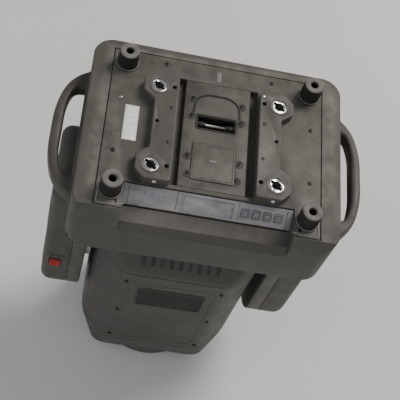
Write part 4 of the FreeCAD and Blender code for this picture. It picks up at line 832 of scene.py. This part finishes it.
def arm_fittings(sign, word, face, half, top):
    """The round axle cap, louvres and screws on one arm."""
    cap = lathe([(0, -1), (33, -1), (33, 0.5), (32, 1.6), (29.5, 2.0), (28.5, 1.6), (28.0, 0.9), (24, 0.9),
                 (22.5, 1.5), (8, 1.9), (0, 1.95)], (sign * face, 0, TILT_Z), "x", 72, out=sign)
    make_piece(f"axle_cap_{word}", cap, "yoke", "casting", sharp=30)
    screws = bmesh.new()
    for y, z in arc_points(0, TILT_Z, 25.8, 45, 315, 3):
        screw_head(screws, (sign * (face + 0.9), y, z), "x", 1.7, 0.8, sign)
    middle = (top + TILT_Z) / 2
    for y_sign in SIGNS:
        for z in (top - 36, TILT_Z + 62):
            screw_head(screws, (sign * (face - 0.2), y_sign * 28, z), "x", 2.6, 1.1, sign)
        for z in (top - 30, middle + 20):
            screw_head(screws, (sign * 160, y_sign * half, z), "y", 2.6, 1.1, y_sign)
    make_piece(f"arm_screws_{word}", screws, "yoke", "steel", "dark_steel")
    vent(f"arm_vent_{word}", "yoke", sign, sign * face, 27, middle - 26, middle + 44, 8.0)


def bar_section(low, high, half, lower, upper):
    """A rounded bar section in Y and Z with its own radius below and above."""
    return (arc_points(half - upper, high - upper, upper, 0, 90, 5)
            + arc_points(upper - half, high - upper, upper, 90, 180, 5)
            + arc_points(lower - half, low + lower, lower, 180, 270, 7)
            + arc_points(half - lower, low + lower, lower, 270, 360, 7))


def yoke_bar():
    """The bar that joins the arms: a cast tray, a rounded lid, the seam between them and a collar."""
    low, high = span("crossbar")
    lid_low, lid_high = span("crossbar_cover")
    reach = high.x + 0.6
    flare = [(reach, 0.0, 14.0), (reach - 8, 1.2, 14.0), (reach - 22, 2.0, 14.0)]
    stations = [(-x, drop, r) for x, drop, r in flare] + [(x, drop, r) for x, drop, r in reversed(flare)]

    def bar(sections):
        loops = [[at(x, y, z) for y, z in bar_section(*section)] for x, *section in sections]
        return solid(loops)

    tray = bar((x, low.z + drop, high.z - 0.4, high.y - drop, r, 1.0) for x, drop, r in stations)
    make_piece("yoke_tray", tray, "yoke", "casting", stands_for=("crossbar",), sharp=40)
    lid = bar((x, lid_low.z + 0.4, lid_high.z, high.y - drop, 1.0, 6.0) for x, drop, r in stations)
    make_piece("yoke_lid", lid, "yoke", "casing", stands_for=("crossbar_cover",), sharp=40)
    seam = bar((x, high.z - 0.8, high.z + 0.8, high.y - 3.2, 0.4, 0.4) for x in (-reach, reach))
    make_piece("yoke_seam", seam, "yoke", "motor_black")
    collar = lathe([(25, -1), (46, -1), (46, 1.4), (44.5, 2.6), (30, 3.0), (25, 3.0), (25, -1)],
                   (0, 0, lid_high.z), steps=72)
    make_piece("spindle_collar", collar, "yoke", "casting")
    screws = bmesh.new()
    for sign in SIGNS:
        for x in (-96, -48, 48, 96):
            screw_head(screws, (x, sign * (high.y - 2.0), (low.z + high.z) / 2 + 6), "y", 2.6, 1.1, sign)
    make_piece("yoke_screws", screws, "yoke", "steel", "dark_steel")


def lock_knob(node, body, along_x):
    """A ribbed slide knob in a guide frame."""
    low, high = span(node)
    centre = (low + high) / 2
    half = 8.0
    face = low.y + 4.7
    knob_rows = [(face, half - 0.6), (face - 0.5, half), (low.y + 1.6, half), (low.y + 0.7, half - 0.5),
                 (low.y + 0.3, half - 1.6)]
    loops = [[at(centre.x + u, y, centre.z + v) for u, v in rectangle((-size, -size), (size, size), 2.5, 4)]
             for y, size in knob_rows]
    builder = solid(loops)
    for number in range(5):
        shift = -5 + 2.5 * number
        place = (lambda u, v, level: (centre.x + shift + v, level, centre.z + u)) if along_x else \
            (lambda u, v, level: (centre.x + u, level, centre.z + shift + v))
        ridge([(-5.2, 0), (5.2, 0)], 1.3, low.y + 0.5, low.y - 0.1, builder, place=place)
    make_piece(f"{node}_knob", builder, body, "lock_red", stands_for=(node,))
    travel = 8.0
    reach = (half + travel, half) if along_x else (half, half + travel)
    outline = rectangle((centre.x - half - 2.2, centre.z - half - 2.2),
                        (centre.x + reach[0] + 2.2, centre.z + reach[1] + 2.2), 3)
    guide = ridge(outline, 2.4, face + 1.0, face - 1.6, closed=True, place=lambda u, v, level: (u, level, v))
    make_piece(f"{node}_guide", guide, "yoke", "casting")


def lock_knobs():
    lock_knob("pan_lock", "pan_latch", True)
    lock_knob("tilt_lock", "tilt_latch", False)


# ---- head

HEAD_LOW, HEAD_HIGH = span("head_cover_front")
HALF_X, HALF_Y = HEAD_HIGH.x, -HEAD_LOW.y
REAR, FRONT = HEAD_HIGH.z - TILT_Z, HEAD_LOW.z - TILT_Z
CORNER_SUM = 175.0
REAR_SHOULDER, FRONT_SHOULDER = 132.0, -118.0
REAR_HALF = (100.0, 68.0)
FRONT_HALF = (95.0, 90.0)
FACES = ((-1, "front"), (1, "back"))

# How tightly the shell's shoulders, its vertical edges and its rear opening turn.
SHOULDER_POWER, EDGE_POWER, OPENING_POWER = 60, 26, 30


def soft_min(values, power):
    return sum(value ** -power for value in values) ** (-1 / power)


def half_width(index, full, height):
    """The shell's half width on X or Y at one height, easing over both shoulders."""
    rear = REAR_HALF[index] + (full - REAR_HALF[index]) * (REAR - height) / (REAR - REAR_SHOULDER)
    front = FRONT_HALF[index] + (full - FRONT_HALF[index]) * (height - FRONT) / (FRONT_SHOULDER - FRONT)
    return soft_min((full, max(rear, 1.0), max(front, 1.0)), SHOULDER_POWER)


def shell_reach(angle, height):
    """How far the octagonal shell reaches from its own axis, in one direction and at one height."""
    across, deep = abs(math.cos(angle)), abs(math.sin(angle))
    planes = [across / half_width(0, HALF_X, height), deep / half_width(1, HALF_Y, height),
              (across + deep) / CORNER_SUM]
    return sum(plane ** EDGE_POWER for plane in planes) ** (-1 / EDGE_POWER)


def hole_reach(angle, half_x, half_y):
    """How far a rounded rectangular hole reaches in one direction."""
    planes = (abs(math.cos(angle)) / half_x, abs(math.sin(angle)) / half_y)
    return sum(plane ** OPENING_POWER for plane in planes) ** (-1 / OPENING_POWER)


def shell_rows():
    """(height, inset) rows of the shell, rolled over at both ends and grooved at both shoulders."""
    roll = 4.0
    bends = [math.pi / 2 * step / 5 for step in range(6)]
    front = [(FRONT + roll * (1 - math.sin(a)), roll * (1 - math.cos(a))) for a in reversed(bends)]
    rear = [(REAR - roll * (1 - math.sin(a)), roll * (1 - math.cos(a))) for a in bends]
    grooves = []
    for level in (FRONT_SHOULDER + 7, REAR_SHOULDER - 7):
        grooves += [(level - 1.4, 0.0), (level - 0.8, 1.3), (level + 0.8, 1.3), (level + 1.4, 0.0)]
    heights = (-156, -147, -138, -130, -124, -118, -113.5, -104, -60, -20,
               20, 60, 104, 121, 129, 134, 140, 148, 157, 164)
    return front + sorted([(height, 0.0) for height in heights] + grooves) + rear


def shell_half(sign):
    """One half of the head's shell, with its lips turned in at the seam."""
    steps = 110
    clear = 0.006
    angles = [math.pi * (clear + (1 - 2 * clear) * i / steps) for i in range(steps + 1)]
    grille = span("rear_grille")[1]
    loops = []

    def ring_at(height, reach_of):
        reaches = [reach_of(angle) for angle in angles]
        loop = [(r * math.cos(angle), sign * r * math.sin(angle)) for r, angle in zip(reaches, angles)]
        lips = [[(x - math.copysign(inward, x), sign * y) for inward, y in ((2.6, 0.45), (0.25, 0.5))]
                for x in (loop[0][0], loop[-1][0])]
        return [at(x, y, TILT_Z + height) for x, y in [*lips[0], *loop, *reversed(lips[1])]]

    loops.append(ring_at(FRONT + 3.0, lambda angle: 82.0))
    loops.append(ring_at(FRONT, lambda angle: 83.0))
    for height, inset in shell_rows():
        loops.append(ring_at(height, lambda angle: shell_reach(angle, min(max(height, FRONT), REAR)) - inset))
    for drop in (0.0, 5.0):
        loops.append(ring_at(REAR - drop, lambda angle: hole_reach(angle, grille.x + 0.3, grille.y + 0.3)))
    return skin(bmesh.new(), loops, closed=False)


def head_shells():
    for sign, word in FACES:
        shell = shell_half(sign)
        make_piece(f"head_shell_{word}", shell, "head", "casing",
                   stands_for=(f"head_cover_{word}",), sharp=48)


def head_fittings():
    """Side outlets at the fans, face panels, trunnion collars and case screws."""
    fan_height = JOINTS["right_fan_spin"]["pos_m"][2] / MM
    for sign, word in SIDES:
        vent(f"side_outlet_{word}", "head", sign, sign * (HALF_X - 0.6), 42, fan_height - 34,
             fan_height + 6, 6.5)
        collar = lathe([(17, -2), (30, -2), (30, 0.6), (28.5, 2.0), (19, 2.6), (17, 2.0), (17, -2)],
                       (sign * HALF_X, 0, TILT_Z), "x", 64, out=sign)
        make_piece(f"trunnion_collar_{word}", collar, "head", "casting")
    for sign, word in FACES:
        face_details(sign, word)
    grille = span("rear_grille")[1]
    spots = [(x_sign * (grille.x - 4), y_sign * (grille.y - 3.6), grille.z) for x_sign, y_sign in CORNERS]
    screw_set("grille_screws", "head", spots, "z", 2.0, 0.8)
    mesh = bmesh.new()
    for number in range(24):
        y = -grille.y + 8 + number * (2 * grille.y - 16) / 23
        ridge([(-grille.x + 4, y), (grille.x - 4, y)], 1.0, grille.z - 3.2, grille.z - 2.2, mesh)
    make_piece("grille_mesh", mesh, "head", "motor_black")


def face_details(sign, word):
    """A broad face of the head: outlined panel, slatted intake over a dark sheet of painted shade, dark plates of
    painted shade for slots in the rear slope, and screws.
    """
    y = sign * (HALF_Y - 0.4)

    def on_face(u, v, level):
        return u, y + sign * level, TILT_Z + v

    panel = ridge(rectangle((-62, -96), (62, 100), 14), 2.4, -0.3, 1.0, closed=True, place=on_face)
    for half_x, low, high in ((46, -84, -70), (30, -64, -58)):
        ridge(rectangle((-half_x, low), (half_x, high), 4), 1.8, -0.3, 0.8, panel, closed=True, place=on_face)
    make_piece(f"face_panel_{word}", panel, "head", "casing")
    intake = rectangle((-48, 34), (48, 86), 7)
    # The dark sheet behind the intake slats is painted shade, the shadow inside the opening.
    shadow = slat(bmesh.new(), intake, -0.8, 0.6, on_face)
    make_piece(f"face_intake_{word}_shade_sheet", shadow, "head", "motor_black")
    slats = ridge(intake, 3.0, -0.4, 2.2, closed=True, place=on_face)
    lean = Matrix.Rotation(math.radians(-30 * sign), 3, "X")
    for number in range(6):
        z = TILT_Z + 41 + 7.6 * number
        near, far = sorted((y - sign * 0.6, y + sign * 1.6))
        slab(slats, (-46, near, z - 2.0), (46, far, z + 2.0), lean)
    make_piece(f"face_intake_{word}", slats, "head", "casing", "louvre_skin", sharp=30)
    run, climb = REAR_HALF[1] - HALF_Y, REAR - REAR_SHOULDER
    length = math.hypot(run, climb)

    def on_slope_face(u, v, level):
        across = (HALF_Y + REAR_HALF[1]) / 2 + (v * run + level * climb) / length
        return u, sign * across, TILT_Z + (REAR + REAR_SHOULDER) / 2 + (v * climb - level * run) / length

    # Each slot is a dark plate inside a raised lip: painted shade where an opening would be.
    slots = bmesh.new()
    lips = bmesh.new()
    for number in range(9):
        x = 13 * (number - 4)
        outline = rectangle((x - 3, -12), (x + 3, 12), 2.9)
        slat(slots, outline, -0.6, 0.25, on_slope_face)
        ridge(outline, 1.2, -0.3, 0.8, lips, closed=True, place=on_slope_face)
    make_piece(f"slope_slot_shadows_{word}", slots, "head", "motor_black")
    make_piece(f"slope_lips_{word}", lips, "head", "casing")
    screws = [(x, y, TILT_Z + height) for x in (-68, 68) for height in (-96, 0, 100)]
    screw_set(f"head_screws_{word}", "head", screws, "y", 2.8, 1.1, sign)


def lens_parts():
    """The ribbed lens ring, the domed front lens, the black baffle and the moving lens groups."""
    low, high = span("front_bezel")
    outer = high.x
    glass_low, glass_high = span("front_lens")
    glass_r = glass_high.x
    side, lip, deep = outer - 0.1, glass_r - 4.9, high.z - low.z
    profile = [(lip, 0.6), (glass_r - 4.0, 0), (outer - 3.0, 0), (outer - 0.9, 0.8), (side, 2.4)]
    for number in range(4):
        z = 6 + 4.2 * number
        profile += [(side, z - 0.9), (outer - 1.2, z - 0.5), (outer - 1.2, z + 0.5), (side, z + 0.9)]
    profile += [(side, deep), (glass_r + 0.1, deep), (glass_r + 0.1, 4), (lip, 4), (lip, 0.6)]
    make_piece("lens_ring", lathe(profile, (0, 0, low.z), steps=128), "head", "casting",
               stands_for=("front_bezel",), sharp=40)
    nose = glass_low.z + 0.1
    glass = [(glass_r * s, nose + 3.0 * (s / 0.93) ** 2) for s in (0, 0.2, 0.4, 0.6, 0.8, 0.93)]
    glass += [(glass_r, nose + 3.0), (glass_r, glass_high.z)]
    glass += [(glass_r * s, glass_high.z + 3.5 * (1 - s * s)) for s in (0.94, 0.8, 0.6, 0.4, 0.2, 0)]
    make_piece("lens_dome", lathe(glass, steps=96), "head", "lens_glass", stands_for=("front_lens",))
    plate_z = TILT_Z + FRONT_SHOULDER + 4
    rim_z = glass_high.z + 1
    baffle = lathe([(glass_r - 1, rim_z), (glass_r - 1.5, rim_z), (61, plate_z - 4.6), (60, plate_z - 4.6),
                    (61, plate_z - 5.4), (glass_r - 0.6, rim_z - 0.6), (glass_r - 1, rim_z)], steps=96)
    make_piece("light_baffle", baffle, "head", "motor_black")
    for node, body, radius, bulge, back in (("focus_carriage", "focus_stage", 37.9, -5.0, 0.6),
                                            ("zoom_carriage", "zoom_stage", 33.9, -0.6, 5.0)):
        plate_low, plate_high = span(node)
        steps = (0, 0.25, 0.5, 0.75, 0.93)
        rows = [(radius * s, plate_low.z + 1 + bulge * (1 - s * s)) for s in steps]
        rows += [(radius, plate_low.z + 1), (radius, plate_high.z - 1)]
        rows += [(radius * s, plate_high.z - 1 + back * (1 - s * s)) for s in reversed(steps)]
        make_piece(f"{node}_lens", lathe(rows, steps=72), body, "lens_glass")
    hue_discs()


def hue_discs():
    """Seven dichroic filters in the colour wheel; its eighth window stays open."""
    low, high = span("colour_wheel")
    centre = JOINTS["colour_wheel_spin"]["pos_m"]
    pitch = centre[0] / MM
    for number, (x, y) in enumerate(arc_points(pitch, 0, pitch, 225, 495, 6), start=1):
        disc = lathe([(0, -0.5), (12.9, -0.5), (12.9, 0.5), (0, 0.5)], (x, y, (low.z + high.z) / 2), steps=40)
        make_piece(f"colour_filter_{number}", disc, "colour_disc", "lens_glass", f"filter_{number}")


# ---- put together

def build_pieces():
    for build in (feet, handles, cover_fasteners, centre_cover_details, cover_details, plate_details,
                  base_vents, key_caps, panel_trim, connector_details, arms, yoke_bar, lock_knobs,
                  head_shells, head_fittings, lens_parts):
        build()


# ---- stage, light and camera

def studio_floor():
    level = cad_low.z - 0.0002
    mesh = bpy.data.meshes.new("floor")
    size = 12.0
    mesh.from_pydata([(-size, -size, level), (size, -size, level), (size, size, level), (-size, size, level)],
                     [], [(0, 1, 2, 3)])
    floor = add_object("floor", mesh)
    recipe = Recipe("floor_paper")
    cloudy = recipe.ramp(recipe.noise(3.0, 4.0), 0.3, 0.7)
    tone = recipe.blend(cloudy, (0.80, 0.79, 0.775), (0.84, 0.83, 0.815))
    mesh.materials.append(recipe.finish(tone, 0.8))


def aim(thing, place, target, roll=0.0):
    """Put a light or a camera at a place, turned towards a target and rolled about its own axis."""
    thing.location = place
    thing.rotation_mode = "QUATERNION"
    aimed = (Vector(target) - Vector(place)).to_track_quat("-Z", "Y")
    thing.rotation_quaternion = aimed @ Matrix.Rotation(math.radians(roll), 4, "Z").to_quaternion()


def area_light(name, place, target, size, power, colour):
    data = bpy.data.lights.new(name, "AREA")
    data.size = size
    data.energy = power
    data.color = colour
    aim(add_object(name, data), place, target)


def studio_lights():
    middle = (0.0, 0.0, -0.2)
    area_light("key", (1.4, 1.3, 2.1), middle, 1.3, 67.0, (1.0, 0.96, 0.90))
    area_light("fill", (-2.2, -1.0, 1.4), middle, 2.2, 15.0, (0.95, 0.97, 1.0))
    area_light("front", (0.2, -2.6, 0.5), middle, 2.0, 8.0, (1.0, 1.0, 1.0))
    world = bpy.data.worlds.new("soft_room")
    world.use_nodes = True
    background = world.node_tree.nodes["Background"]
    background.inputs["Color"].default_value = (0.92, 0.94, 0.97, 1)
    background.inputs["Strength"].default_value = 0.32
    bpy.context.scene.world = world


def photo_camera():
    """The viewpoint over the base: the eye's place is fixed, and it looks at the whole object."""
    eye = (-0.173, -0.671, 0.962)
    target = (0.0127, 0.0019, -0.1664)
    data = bpy.data.cameras.new("camera")
    data.lens = 86.0
    camera = add_object("camera", data)
    aim(camera, eye, target, roll=22.7)
    bpy.context.scene.camera = camera


dress_cad_nodes()
build_pieces()
studio_floor()
studio_lights()
photo_camera()
